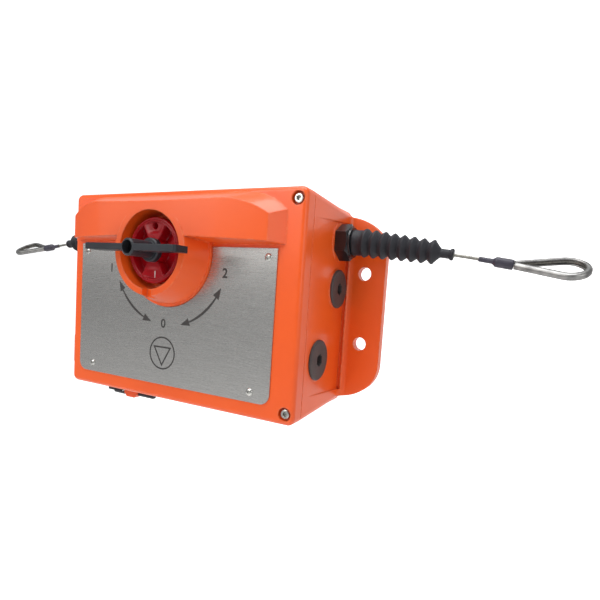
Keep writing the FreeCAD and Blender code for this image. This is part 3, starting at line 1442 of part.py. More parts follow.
def contact_blocks():
    """Switch bodies either side, each with a window that the cross bar moves in."""
    body = new_body("contact_block_right")
    outer_x = S.block_inner + S.block_wide
    block_box = sketch(body, "XZ_Plane", -MOUNTING_FRONT)
    box_outline(block_box, S.block_inner, outer_x, S.block_low, S.block_high)
    pad(body, block_box, S.block_deep)
    bar_z = S.dial_z - S.cam_track - S.slide_drop
    reach = S.slide_tall / 2 + S.cam_gain + S.free_gap
    window = sketch(body, "YZ_Plane", S.slide_half + S.free_gap)
    box_outline(window, SLIDE_FRONT - S.free_gap, SLIDE_FRONT + S.slide_thick + S.free_gap,
                bar_z - reach, bar_z + reach)
    pocket(body, window, S.slide_half + S.free_gap - S.block_inner)
    step = sketch(body, "YZ_Plane", outer_x)
    front = MOUNTING_FRONT - S.block_deep
    step_deep = S.block_deep / 3
    step_tall = (S.block_high - S.block_low) / 4
    box_outline(step, front, front + step_deep, S.block_low, S.block_low + step_tall)
    pocket(body, step, S.block_wide)
    keep(body, "contact_block_right")
    keep(mirrored("contact_block_left", body), "contact_block_left")


def mounting_plate():
    body = new_body("mounting_plate")
    drawing = sketch(body, "XZ_Plane", S.plate_floor)
    rounded_box(drawing, -S.mounting_half, S.mounting_half, S.mounting_low, S.mounting_high,
                S.corner_round)
    pad(body, drawing, S.mounting_thick)
    holes = sketch(body, "XZ_Plane", -MOUNTING_FRONT)
    for across, up in mounting_screw_places():
        circle(holes, across, up, S.screw_shank)
    pocket(body, holes, S.mounting_thick)
    keep(body, "mounting_plate")


def terminal_block():
    """Stepped rail of terminals; the ways repeat at one spacing."""
    body = new_body("terminal_block")
    count = int(float(S.terminal_count))
    half = S.terminal_pitch * S.terminal_count / 2
    low = S.terminal_z - S.terminal_tall / 2
    high = S.terminal_z + S.terminal_tall / 2
    shoulder = S.terminal_tall / 4
    front = MOUNTING_FRONT - S.terminal_deep
    side = sketch(body, "YZ_Plane")
    outline(side, [
        (MOUNTING_FRONT, low),
        (MOUNTING_FRONT, high),
        (front + S.terminal_deep / 2, high),
        (front, high - shoulder),
        (front, low + shoulder),
        (front + S.terminal_deep / 2, low),
    ])
    pad(body, side, 2 * half, both=True)
    entry = sketch(body, "XZ_Plane", -front)
    mouth = S.terminal_pitch / 3
    left = -half + mouth / 2
    box_outline(entry, left, left + 2 * mouth, S.terminal_z - mouth, S.terminal_z + mouth)
    cut_once = pocket(body, entry, S.terminal_deep / 3)
    pattern = body.newObject("PartDesign::LinearPattern", "terminal_blockWays")
    pattern.Originals = [cut_once]
    pattern.Direction = (entry, ["H_Axis"])
    bind(pattern, "Length", S.terminal_pitch * (S.terminal_count - 1))
    pattern.Occurrences = count
    body.Tip = pattern
    keep(body, "terminal_block")


def earth_screw():
    body = turned("earth_screw", [
        (0, -S.floor_thick),
        (S.screw_shank, -S.floor_thick),
        (S.screw_shank, 0),
        (S.screw_head * 1.2, 0),
        (S.screw_head * 1.2, S.step),
        (0, S.step),
    ], (-S.earth_x, -S.plate_floor, S.earth_z), "-Y")
    head = sketch(body, "XY_Plane", S.step)
    hexagon(head, 0, 0, S.screw_head * 1.9)
    pad(body, head, S.screw_shank * 1.4)
    keep(body, "earth_screw")


def rack_bar():
    body = new_body("rack_bar")
    bar = sketch(body, "XZ_Plane", S.rope_y - S.rack_deep / 2)
    box_outline(bar, -S.rack_half, S.rack_half, RACK_ROOT, RACK_ROOT + S.rack_tall)
    pad(body, bar, S.rack_deep)
    spacing = S.gear_module * math.pi
    half = spacing / 4 - S.backlash / 2
    lean = math.tan(math.radians(20))
    first_x = -spacing * ((S.rack_teeth - 1) / 2)
    root_half = half + S.gear_module * 1.25 * lean
    tip_half = half - S.rack_addendum * lean
    tooth = sketch(body, "XZ_Plane", S.rope_y - S.rack_deep / 2)
    outline(tooth, [
        (first_x - root_half, RACK_ROOT + S.step),
        (first_x - root_half, RACK_ROOT),
        (first_x - tip_half, RACK_TIP),
        (first_x + tip_half, RACK_TIP),
        (first_x + root_half, RACK_ROOT),
        (first_x + root_half, RACK_ROOT + S.step),
    ])
    single = pad(body, tooth, S.rack_deep)
    pattern = body.newObject("PartDesign::LinearPattern", "rack_barTeeth")
    pattern.Originals = [single]
    pattern.Direction = (tooth, ["H_Axis"])
    bind(pattern, "Length", spacing * (S.rack_teeth - 1))
    pattern.Occurrences = int(float(S.rack_teeth))
    body.Tip = pattern
    doc.recompute()
    for hand in (1, -1):
        depth = S.rod_spigot_long + 2 * S.step
        hole = sketch(body, "YZ_Plane", hand * S.rack_half)
        circle(hole, -S.rope_y, ROPE_Z, S.rod_spigot + S.seat_gap)
        pocket(body, hole, depth, back=hand < 0)
    keep(body, "rack_bar")


def pair(right, node):
    """Keep a piece on the right and its mirror image on the left."""
    keep(right, f"{node}_right")
    keep(mirrored(f"{node}_left", right), f"{node}_left")


def pull_rods():
    long = ROD_END - S.rack_half + S.rod_spigot_long
    socket = ROD_END - ROPE_START
    body = turned("pull_rod_right", [
        (0, 0),
        (S.rod_spigot, 0),
        (S.rod_spigot, S.rod_spigot_long),
        (S.rod_radius, S.rod_spigot_long),
        (S.rod_radius, long),
        (S.rope_radius + S.rope_gap, long),
        (S.rope_radius + S.rope_gap, long - socket),
        (0, long - socket),
    ], (S.rack_half - S.rod_spigot_long, -S.rope_y, ROPE_Z), "X")
    pair(body, "pull_rod")


def glands():
    """Threaded body with a hexagon outside the wall, a bore for the rod and a spigot."""
    hex_top = THREAD_INSIDE + S.nut_thick
    ring_top = hex_top + S.washer_thick
    bore = S.rod_radius + S.running_gap
    body = turned("rope_gland_right", [
        (bore, 0),
        (S.thread_radius, 0),
        (S.thread_radius, hex_top),
        (S.washer_ring, hex_top),
        (S.washer_ring, ring_top),
        (S.spigot, ring_top),
        (S.spigot, ring_top + S.spigot_long),
        (bore, ring_top + S.spigot_long),
    ], (GLAND_END, -S.rope_y, ROPE_Z), "X")
    nut = sketch(body, "XY_Plane", THREAD_INSIDE)
    hexagon(nut, 0, 0, S.nut_flats)
    circle(nut, 0, 0, S.thread_radius - S.step)
    pad(body, nut, S.nut_thick)
    bevel = sketch(body, "XZ_Plane")
    corner = S.nut_flats / math.sqrt(3) + S.step / 2
    flat = S.nut_flats / 2
    above = hex_top + S.panel_start
    outline(bevel, [
        (flat, above),
        (corner, above),
        (corner, hex_top - (corner - flat) * math.tan(math.radians(30))),
    ])
    groove(body, bevel, "V_Axis")
    pair(body, "rope_gland")

    lock = new_body("gland_locknut_right")
    ring = sketch(lock, "XY_Plane")
    hexagon(ring, 0, 0, S.locknut_flats)
    circle(ring, 0, 0, S.thread_radius + S.seat_gap)
    pad(lock, ring, S.locknut_thick)
    inner_face = S.case_half_wide - S.wall - S.locknut_thick
    place(lock, (inner_face, -S.rope_y, ROPE_Z), "X")
    pair(lock, "gland_locknut")


def bellows():
    """Cuff over the gland's spigot, then folds that shrink towards a narrow neck."""
    cuff_inner = S.spigot + S.seat_gap
    cuff_outer = S.spigot + S.bellows_cuff
    lean = cuff_outer * sine(S.bellows_droop)
    start = S.free_gap / 2
    bend = S.spigot_long + lean + start
    bend_x = SPIGOT_START + bend
    cuff = turned("bellows_cuff", tube_profile(cuff_inner, cuff_outer, start, bend + lean + start),
                  (SPIGOT_START, -S.rope_y, ROPE_Z), "X")
    count = int(float(S.fold_count))
    profile = [(S.bellows_bore, 0), (cuff_outer, 0)]
    for fold in range(count):
        share = fold / max(1, count - 1)
        top = S.fold_first + (S.fold_last - S.fold_first) * share
        along = S.fold_start + S.fold_pitch * fold
        profile.append((top, along - S.bellows_cuff / 2))
        profile.append((top, along + S.bellows_cuff / 2))
        profile.append((top - S.fold_depth, along + S.fold_pitch / 2))
    neck = S.fold_start + S.fold_pitch * (count - 1) + S.neck_start
    lip = neck + S.bellows_neck_long
    profile += [
        (S.bellows_neck, neck),
        (S.bellows_neck, lip),
        (S.bellows_lip, lip + S.step),
        (S.bellows_lip, lip + S.bellows_lip_long),
        (S.bellows_tip_bore, lip + S.bellows_lip_long),
        (S.bellows_tip_bore, neck),
        (S.bellows_bore, neck - S.fold_pitch / 2),
    ]
    droop = Rotation(Vector(0, 1, 0), 90 + float(S.bellows_droop))
    folds = turned("bellows_folds", profile, (bend_x, -S.rope_y, ROPE_Z), droop)
    pair(fuse("bellows_right", [cuff, folds]), "bellows")


# Ropes: straight runs joined by arcs, their points chosen by hand

ROPE_POINTS = [(5.0, 0.0), (27.0, 0.0), (72.0, -5.3), (113.0, -9.25), (150.0, -14.75)]
ROPE_START = S.case_half_wide + ROPE_POINTS[0][0]


def rope_points():
    """The rope's route: each point is given from the side wall and from the gland's axis."""
    wall_x = float(S.case_half_wide)
    depth = -float(S.rope_y)
    axis_z = float(ROPE_Z)
    return [Vector(wall_x + out, depth, axis_z + up) for out, up in ROPE_POINTS]


def rounded_route(points):
    """Straight runs with the largest arc that 0.45 of the shorter run allows."""
    edges = []
    start = points[0]
    for before, corner, after in zip(points, points[1:], points[2:]):
        inward = (before - corner).normalize()
        outward = (after - corner).normalize()
        half_turn = (math.pi - inward.getAngle(outward)) / 2
        tangent_long = 0.45 * min((before - corner).Length, (after - corner).Length)
        radius = tangent_long / math.tan(half_turn)
        print(f"rope arc radius {radius:.0f} mm")
        bisector = (inward + outward).normalize()
        sag = radius / math.cos(half_turn) - radius
        arc_in = corner + inward * tangent_long
        arc_out = corner + outward * tangent_long
        edges.append(Part.LineSegment(start, arc_in).toShape())
        edges.append(Part.Arc(arc_in, corner + bisector * sag, arc_out).toShape())
        start = arc_out
    edges.append(Part.LineSegment(start, points[-1]).toShape())
    return Part.Wire(edges)


def swept_rope(route, radius):
    first = route.OrderedEdges[0]
    start = first.valueAt(first.FirstParameter)
    heading = first.tangentAt(first.FirstParameter)
    section = Part.Wire([Part.makeCircle(radius, start, heading)])
    solid = route.makePipeShell([section], True, False)
    expected = math.pi * radius * radius * route.Length
    if abs(solid.Volume / expected - 1) > 0.01:
        raise RuntimeError("a rope's volume does not match its section and length")
    return solid


def last_run():
    """Direction of the rope's last run and the point where the sleeve begins on it."""
    points = rope_points()
    heading = (points[-1] - points[-2]).normalize()
    return points[-2] + heading * float(S.sleeve_start), heading


def ropes():
    route = rounded_route(rope_points())
    print(f"rope length {route.Length:.1f} mm")
    pair(shaped("wire_rope_right", swept_rope(route, float(S.rope_radius))), "wire_rope")


def sleeves():
    start, heading = last_run()
    bore = S.rope_radius + S.rope_gap
    inside = (rope_points()[-1] - start).Length + S.free_gap / 2
    long = S.sleeve_thin_long + S.sleeve_thick_long
    cone = S.sleeve_thick - S.sleeve_thin
    body = turned("eye_sleeve_right", [
        (bore, 0),
        (S.sleeve_thin, 0),
        (S.sleeve_thin, S.sleeve_thin_long),
        (S.sleeve_thick, S.sleeve_thin_long + cone),
        (S.sleeve_thick, long),
        (0, long),
        (0, inside),
        (bore, inside),
    ], tuple(start), Rotation(Vector(0, 0, 1), heading))
    pair(body, "eye_sleeve")


def teardrop(offset, start_along):
    """Loop outline: a bend and the two straight legs that meet it, cut off near the apex."""
    reach = float(S.eye_reach)
    radius = float(S.eye_radius) + offset
    lean = math.asin(float(S.eye_radius) / reach)
    touch = Vector(reach - radius * math.sin(lean), radius * math.cos(lean), 0)
    leg = Vector(math.cos(lean), math.sin(lean), 0)
    foot = touch - leg * ((touch.x - start_along) / leg.x)
    return touch, foot


def loop_wire(offset, start_along, closed):
    touch, foot = teardrop(offset, start_along)
    tip = Vector(float(S.eye_reach) + float(S.eye_radius) + offset, 0, 0)
    low_touch = Vector(touch.x, -touch.y, 0)
    low_foot = Vector(foot.x, -foot.y, 0)
    edges = [
        Part.LineSegment(low_foot, low_touch).toShape(),
        Part.Arc(low_touch, tip, touch).toShape(),
        Part.LineSegment(touch, foot).toShape(),
    ]
    if closed:
        edges.append(Part.LineSegment(foot, low_foot).toShape())
    return Part.Wire(edges)


def inner_drop(offset):
    """Inside of the thimble: the legs run on until they meet."""
    lean = math.asin(float(S.eye_radius) / float(S.eye_reach))
    apex = -offset / math.sin(lean)
    touch, foot = teardrop(offset, apex)
    point = Vector(apex, 0, 0)
    tip = Vector(float(S.eye_reach) + float(S.eye_radius) + offset, 0, 0)
    low_touch = Vector(touch.x, -touch.y, 0)
    return Part.Wire([
        Part.LineSegment(point, low_touch).toShape(),
        Part.Arc(low_touch, tip, touch).toShape(),
        Part.LineSegment(touch, point).toShape(),
    ])


def eye_placement():
    """Where the eye's apex lies and how its plane is turned about the rope."""
    start, heading = last_run()
    end = start + heading * float(S.sleeve_thin_long + S.sleeve_thick_long)
    fall = Rotation(Vector(0, 1, 0), float(S.eye_fall))
    tilt = Rotation(Vector(1, 0, 0), float(S.eye_tilt))
    turn = fall.multiply(tilt)
    back = turn.multVec(Vector(eye_start() - float(S.eye_gap), 0, 0))
    return Placement(end - back, turn)


def eye_start():
    """Distance from the apex at which the two legs lie side by side."""
    lean = math.asin(float(S.eye_radius) / float(S.eye_reach))
    return float(S.rope_radius + S.leg_gap) / math.tan(lean)


def thimbles():
    groove_half = float(S.rope_radius + S.thimble_gap)
    channel = -groove_half
    inside = -(groove_half + float(S.thimble_web))
    half = groove_half + float(S.thimble_cheek)
    begin = eye_start() + float(S.thimble_start)
    hole = Part.Face(inner_drop(inside)).extrude(Vector(0, 0, 2 * half))
    hole.translate(Vector(0, 0, -half))
    web = Part.Face(inner_drop(channel)).extrude(Vector(0, 0, 2 * groove_half))
    web.translate(Vector(0, 0, -groove_half))
    cheek_outline = Part.Face(loop_wire(float(S.thimble_lip), begin, True))
    cheek_thick = Vector(0, 0, float(S.thimble_cheek))
    upper = cheek_outline.extrude(cheek_thick)
    upper.translate(Vector(0, 0, groove_half))
    lower = cheek_outline.extrude(cheek_thick)
    lower.translate(Vector(0, 0, -half))
    solid = web.fuse([upper, lower]).cut(hole).removeSplitter()
    item = shaped("thimble_right", solid)
    item.Placement = eye_placement()
    pair(item, "thimble")


def rope_eyes():
    """The rope's loop round the thimble, from one side of the sleeve to the other."""
    route = loop_wire(0.0, eye_start(), False)
    item = shaped("rope_eye_right", swept_rope(route, float(S.rope_radius)))
    item.Placement = eye_placement()
    pair(item, "rope_eye")


def centring_springs():
    """Coil springs round the pull rods, between the rack bar and the gland's nut."""
    wire = float(S.spring_wire)
    start = float(S.rack_half)
    end = float(GLAND_END)
    radius = float(S.spring_outer) - wire
    height = end - start - 2 * wire
    helix = Part.makeHelix(height / float(S.spring_turns), height, radius)
    corners = [Vector(radius + wire * math.cos(step * math.pi / 2), 0,
                      wire * math.sin(step * math.pi / 2)) for step in range(5)]
    section = Part.makePolygon(corners)
    coil = Part.Wire(helix).makePipeShell([section], True, True)
    item = shaped("centring_spring_right", coil)
    place(item, (start + wire, -S.rope_y, ROPE_Z), "X")
    pair(item, "centring_spring")


def rack_guides():
    """Channels on the floor of the case that keep the rack bar from turning."""
    body = new_body("rack_guide_right")
    low = RACK_TIP - S.free_gap
    high = RACK_ROOT + S.rack_tall + S.free_gap
    bar_back = -(S.rope_y - S.rack_deep / 2)
    bar_front = -(S.rope_y + S.rack_deep / 2)
    channel = sketch(body, "YZ_Plane", S.guide_x - S.guide_wide / 2)
    outline(channel, [
        (-S.floor_thick, low - S.guide_arm),
        (-S.floor_thick, high + S.guide_arm),
        (bar_front, high + S.guide_arm),
        (bar_front, high),
        (bar_back + S.free_gap, high),
        (bar_back + S.free_gap, low),
        (bar_front, low),
        (bar_front, low - S.guide_arm),
    ])
    pad(body, channel, S.guide_wide)
    pair(body, "rack_guide")


def handle_screw():
    front = HANDLE_FRONT + S.hub_bore_deep + S.spindle_short
    tall = S.screw_shank + S.step
    body = turned("handle_screw", [
        (0, 0),
        (S.spindle - S.step, 0),
        (S.spindle - S.step, tall - S.step / 2),
        (S.spindle - S.step * 1.5, tall),
        (0, tall),
    ], (0, front, S.dial_z), "-Y")
    socket = sketch(body, "XY_Plane", tall)
    hexagon(socket, 0, 0, S.socket_flats)
    pocket(body, socket, S.screw_shank)
    keep(body, "handle_screw")


def lock_pin():
    """Locking pin parked in the lug, with a cross hole in its head for the ring."""
    left = S.lug_x + S.lug_wide / 2
    right = S.lug_x - S.lug_wide / 2
    head_start = left + S.free_gap
    head_end = head_start + S.lock_head_long
    tail_end = left + S.lock_pin_left
    tip = right - S.lock_pin_right
    drop = UNDERSIDE - S.lock_pin_drop
    body = turned("lock_pin", [
        (0, tip),
        (S.lock_pin * 0.7, tip),
        (S.lock_pin, tip + 2 * S.step),
        (S.lock_pin, head_start),
        (S.lock_head, head_start),
        (S.lock_head, head_end),
        (S.lock_head * 0.5, head_end),
        (S.lock_head * 0.5, tail_end),
        (0, tail_end),
    ], (0, LUG_Y, drop), "-X")
    hole = sketch(body, "XZ_Plane", -S.lock_head * 2)
    circle(hole, 0, left + S.lock_head_eye, S.head_hole)
    pocket(body, hole, S.lock_head * 4, back=True)
    keep(body, "lock_pin")


def tether_ring():
    """Ring through the lug's hole and the pin's cross hole, which it joins."""
    across = S.lug_wide / 2 + S.lock_head_eye
    down = S.lock_pin_drop - S.ring_hole_drop
    radius = root(across * across + down * down) / 2
    wire = S.ring_wire
    profile = []
    for step in range(6):
        angle = math.radians(60 * step)
        profile.append((radius + wire * math.cos(angle), wire * math.sin(angle)))
    middle_x = -S.lug_x - across / 2
    middle_z = UNDERSIDE - (S.ring_hole_drop + S.lock_pin_drop) / 2
    axis = Vector(float(down), 0, -float(across))
    turn = Rotation(Vector(0, 0, 1), axis)
    keep(turned("tether_ring", profile, (middle_x, LUG_Y, middle_z), turn), "tether_ring")


def build_all():
    front_cover()
    face_plate()
    plate_screws()
    cover_screws()
    hinge_pins()
    spindle_fittings()
    dial()
    dial_spindle()
    handle()
    handle_screw()
    base_housing()
    cover_gasket()
    blanking_plugs()
    rotor_bearings()
    rotor_shaft()
    pinion()
    cam_disc()
    retaining_ring()
    contact_slide()
    contact_blocks()
    mounting_plate()
    terminal_block()
    earth_screw()
    rack_bar()
    pull_rods()
    glands()
    bellows()
    ropes()
    sleeves()
    thimbles()
    rope_eyes()
    centring_springs()
    rack_guides()
    lock_pin()
    tether_ring()


def check_and_export():
    doc.recompute()
    for item in doc.Objects:
        faults = [word for word in item.State if word in ("Invalid", "Error")]
        if faults:
            raise RuntimeError(f"{item.Label}: {faults}")
    os.makedirs("parts", exist_ok=True)
    for node, item in PIECES.items():
        shape = item.Shape
        if shape.isNull() or not shape.isValid() or not shape.Solids:
            raise RuntimeError(f"{node}: not a valid solid")
        shape.exportStep(f"parts/{node}.step")
    print(f"{len(PIECES)} pieces")


build_all()
check_and_export()
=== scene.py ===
# %% [markdown]
# # Rope pull switch
# A safety switch for a long machine: a rope runs from each side of the case, and a pull
# on either one slides a rack inside, which turns the dial in front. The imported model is
# the frame. Every piece is built in its axes, with +X to the right, -Y towards the person
# in front and +Z up, and the origin is the middle of the four mounting holes.

# %% Load the frame
import json
import math

import bmesh
import bpy
import numpy as np
from mathutils import Matrix, Vector


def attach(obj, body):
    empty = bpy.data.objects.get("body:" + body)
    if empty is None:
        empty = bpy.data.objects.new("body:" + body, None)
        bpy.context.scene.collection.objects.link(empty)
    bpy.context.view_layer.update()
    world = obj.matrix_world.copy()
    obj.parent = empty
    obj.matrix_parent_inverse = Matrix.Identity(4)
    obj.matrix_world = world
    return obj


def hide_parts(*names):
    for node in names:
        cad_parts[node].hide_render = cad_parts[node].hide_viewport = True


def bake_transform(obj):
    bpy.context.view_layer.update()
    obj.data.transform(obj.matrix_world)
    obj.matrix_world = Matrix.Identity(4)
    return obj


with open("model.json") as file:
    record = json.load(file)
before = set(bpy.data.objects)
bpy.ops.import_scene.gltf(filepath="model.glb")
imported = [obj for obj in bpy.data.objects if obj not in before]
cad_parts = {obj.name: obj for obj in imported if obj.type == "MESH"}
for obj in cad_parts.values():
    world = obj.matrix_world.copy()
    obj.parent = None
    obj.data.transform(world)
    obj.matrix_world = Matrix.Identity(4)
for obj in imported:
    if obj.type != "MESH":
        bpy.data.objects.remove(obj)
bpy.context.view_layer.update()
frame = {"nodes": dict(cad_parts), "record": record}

MM = 0.001  # shapes are worked out in millimetres, and Blender's unit is the metre
FRONT = -116.0  # y of the cover's face
AXIS_Z = 44.5  # height of the dial's axis
SIDES = ("right", "left")
scene = bpy.context.scene

# %% [markdown]
# ## Camera
# The camera stands where the photograph was taken from: close, to the right of the
# case and a little below its middle, turned a few degrees about its own axis. It could
# be placed by three turns. Three axes are used instead, because the directions of right
# and up can be read off the straight edges of a case.

# %% Camera
EYE = (0.3230, -0.4648, 0.0188)
RIGHT = (0.8948, 0.4413, 0.0671)
UP = (-0.0964, 0.0433, 0.9944)
SENSOR, LENS = 36.0, 27.065
SHIFT = (-0.0044, 0.0403)


def unit(values):
    """A vector divided by its length."""
    values = np.asarray(values, float)
    return values / np.linalg.norm(values)


def place_camera():
    """Camera axes: right, up, and backwards as their cross product."""
    data = bpy.data.cameras.new("camera")
    data.sensor_width = SENSOR
    data.lens = LENS
    data.shift_x, data.shift_y = SHIFT
    data.clip_end = 20.0
    camera = bpy.data.objects.new("camera", data)
    scene.collection.objects.link(camera)
    right = unit(RIGHT)
    back = unit(np.cross(right, unit(UP)))
    up = np.cross(back, right)
    camera.matrix_world = Matrix(
        [(right[i], up[i], back[i], EYE[i]) for i in range(3)] + [(0, 0, 0, 1)]
    )
    scene.camera = camera


place_camera()
print(f"camera: {LENS} mm lens at {EYE}")

# %% [markdown]
# ## Light
# A studio lights such a case with broad soft boxes, so that the paint shows long mild
# highlights. One lamp in front would do for the paint, but brushed metal shows what
# it mirrors. A low, wide lamp to the left is there for the face plate alone.

# %% Lamps and world
# name: place, target, width, height, watts, colour
LAMPS = {
    "lamp_front": ((-0.7, -1.9, 1.1), (0, 0, 0), 1.4, 1.2, 21, (1.0, 0.985, 0.96)),
    "lamp_top": ((0.1, -0.3, 1.6), (0, 0, 0), 1.6, 1.2, 30, (0.97, 0.98, 1.0)),
    "lamp_right": ((1.9, -0.9, 0.5), (0.1, 0, 0), 1.0, 1.4, 8, (1, 1, 1)),
    "lamp_low": ((0.4, -1.2, -1.0), (0, 0, 0), 1.2, 0.8, 2, (1, 1, 1)),
    "lamp_plate": ((-1.14, -1.32, 0.42), (0, 0, 0), 1.5, 0.5, 2, (1, 1, 1)),
}
WORLD_COLOUR, WORLD_STRENGTH = (0.95, 0.97, 1.0, 1), 0.27


def area_lamp(name, at, target, wide, high, watts, colour):
    """Rectangular lamp whose face looks from its place to a target."""
    data = bpy.data.lights.new(name, "AREA")
    data.shape = "RECTANGLE"
    data.size, data.size_y = wide, high
    data.energy = watts
    data.color = colour
    lamp = bpy.data.objects.new(name, data)
    scene.collection.objects.link(lamp)
    lamp.location = at
    lamp.rotation_euler = (Vector(target) - Vector(at)).to_track_quat("-Z", "Y").to_euler()


def put(node, values):
    """Constants set on a node's own sockets."""
    for label, value in values.items():
        node.inputs[label].default_value = value


def pale_world():
    """World light = one pale colour times its strength, the same from everywhere."""
    world = bpy.data.worlds.new("world")
    scene.world = world
    world.use_nodes = True
    background = world.node_tree.nodes["Background"]
    put(background, {"Color": WORLD_COLOUR, "Strength": WORLD_STRENGTH})


for name, values in LAMPS.items():
    area_lamp(name, *values)
pale_world()
scene.view_settings.view_transform = "Standard"
print(f"light: {len(LAMPS)} lamps")

# %% [markdown]
# ## Shader group: rounded edges and grain
# Real edges are never knife sharp, and paint, plastic and rubber all have a fine grain.
# Both could be cut into the mesh. A Bevel node and a Bump node give them without one
# more face, and a group lets every finish use them with its own numbers.

# %% Relief group


def new_group(name, inputs, outputs):
    """Empty shader group with typed sockets; returns it with its two end nodes."""
    group = bpy.data.node_groups.new(name, "ShaderNodeTree")
    for label, kind, default in inputs:
        socket = group.interface.new_socket(label, in_out="INPUT", socket_type=f"NodeSocket{kind}")
        if default is not None:
            socket.default_value = default
    for label, kind in outputs:
        group.interface.new_socket(label, in_out="OUTPUT", socket_type=f"NodeSocket{kind}")
    print(f"shader group {name}: {len(inputs)} inputs")
    return group, group.nodes.new("NodeGroupInput"), group.nodes.new("NodeGroupOutput")


def wire(source, output, target, entry):
    """A link from one node's output to another node's input, in the tree of both."""
    source.id_data.links.new(source.outputs[output], target.inputs[entry])


def relief_group():
    """Normal = edges rounded by a radius, then raised by noise of a size and a depth."""
    group, start, end = new_group(
        "relief",
        [("Vector", "Vector", None), ("Scale", "Float", 900.0), ("Depth", "Float", 0.00002),
         ("Radius", "Float", 0.0006)],
        [("Normal", "Vector"), ("Height", "Float")],
    )
    noise = group.nodes.new("ShaderNodeTexNoise")
    put(noise, {"Detail": 3.0, "Roughness": 0.55})
    bevel = group.nodes.new("ShaderNodeBevel")
    bevel.samples = 5
    bump = group.nodes.new("ShaderNodeBump")
    put(bump, {"Strength": 1.0})
    wire(start, "Vector", noise, "Vector")
    wire(start, "Scale", noise, "Scale")
    wire(start, "Radius", bevel, "Radius")
    wire(start, "Depth", bump, "Distance")
    wire(noise, "Fac", bump, "Height")
    wire(bevel, "Normal", bump, "Normal")
    wire(bump, "Normal", end, "Normal")
    wire(noise, "Fac", end, "Height")
    return group


RELIEF = relief_group()

# %% [markdown]
# ## Shader group: drifting colour
# No real surface has one exact colour. Slow noise between two close colours shows
# that, and a contrast value decides how hard the change is. Stretched along one axis,
# the same noise draws the lines of brushed metal.

# %% Drift group


def drift_group():
    """Colour = first and second mixed by slow noise, stretched by the contrast."""
    group, start, end = new_group(
        "drift",
        [("Vector", "Vector", None), ("First", "Color", None), ("Second", "Color", None),
         ("Scale", "Float", 30.0), ("Contrast", "Float", 2.0)],
        [("Color", "Color")],
    )
    noise = group.nodes.new("ShaderNodeTexNoise")
    put(noise, {"Detail": 5.0})
    middle = group.nodes.new("ShaderNodeMath")
    middle.operation = "SUBTRACT"
    put(middle, {1: 0.5})
    stretch = group.nodes.new("ShaderNodeMath")
    stretch.operation = "MULTIPLY_ADD"
    stretch.use_clamp = True
    put(stretch, {2: 0.5})
    mix = group.nodes.new("ShaderNodeMix")
    mix.data_type = "RGBA"
    wire(start, "Vector", noise, "Vector")
    wire(start, "Scale", noise, "Scale")
    wire(noise, "Fac", middle, 0)
    wire(middle, 0, stretch, 0)
    wire(start, "Contrast", stretch, 1)
    wire(stretch, 0, mix, "Factor")
    wire(start, "First", mix, "A")
    wire(start, "Second", mix, "B")
    wire(mix, "Result", end, "Color")
    return group


DRIFT = drift_group()

# %% [markdown]
# ## Shader group: paler edges
# Some finishes take a paler colour along their edges; on the dial that colour is a
# painted highlight along the moulded edges. The mask could be painted by hand. Here
# it compares the rounded normal with the true one: the two part only at an edge, and
# noise breaks the line up.

# %% Edge group


def edge_group():
    """Mask = how far the rounded normal leans from the true one, broken up by noise."""
    group, start, end = new_group(
        "edge",
        [("Vector", "Vector", None), ("Radius", "Float", 0.0008), ("Amount", "Float", 1.0)],
        [("Mask", "Float")],
    )
    bevel = group.nodes.new("ShaderNodeBevel")
    bevel.samples = 4
    geometry = group.nodes.new("ShaderNodeNewGeometry")
    dot = group.nodes.new("ShaderNodeVectorMath")
    dot.operation = "DOT_PRODUCT"
    lean = group.nodes.new("ShaderNodeMapRange")
    put(lean, {"From Min": 0.985, "From Max": 0.80})
    noise = group.nodes.new("ShaderNodeTexNoise")
    put(noise, {"Scale": 260.0, "Detail": 4.0})
    broken = group.nodes.new("ShaderNodeMapRange")
    put(broken, {"From Min": 0.42, "From Max": 0.62})
    both = group.nodes.new("ShaderNodeMath")
    both.operation = "MULTIPLY"
    scaled = group.nodes.new("ShaderNodeMath")
    scaled.operation = "MULTIPLY"
    wire(start, "Radius", bevel, "Radius")
    wire(bevel, "Normal", dot, 0)
    wire(geometry, "Normal", dot, 1)
    wire(dot, "Value", lean, "Value")
    wire(start, "Vector", noise, "Vector")
    wire(noise, "Fac", broken, "Value")
    wire(lean, "Result", both, 0)
    wire(broken, "Result", both, 1)
    wire(both, 0, scaled, 0)
    wire(start, "Amount", scaled, 1)
    wire(scaled, 0, end, "Mask")
    return group


EDGE = edge_group()

# %% [markdown]
# ## How a finish is put together
# Each finish is one Principled shader with the three groups wired to it. Twenty
# hand-made node trees would look much the same and be hard to change together, so one
# function wires them, and a finish only states its colours, grain and gloss.

# %% Finish function
FINISHES = {}


def linear(red, green, blue):
    """Screen colour from 0 to 255 as linear light: ((c / 255 + 0.055) / 1.055) ^ 2.4,
    or c / 255 / 12.92 for the darkest tones."""
    share = np.array([red, green, blue], float) / 255.0
    low = share / 12.92
    high = ((share + 0.055) / 1.055) ** 2.4
    return tuple(np.where(share <= 0.04045, low, high)) + (1.0,)


def grouped(tree, group, **values):
    """A node of a shader group with its constants set."""
    node = tree.nodes.new("ShaderNodeGroup")
    node.node_tree = group
    put(node, values)
    return node


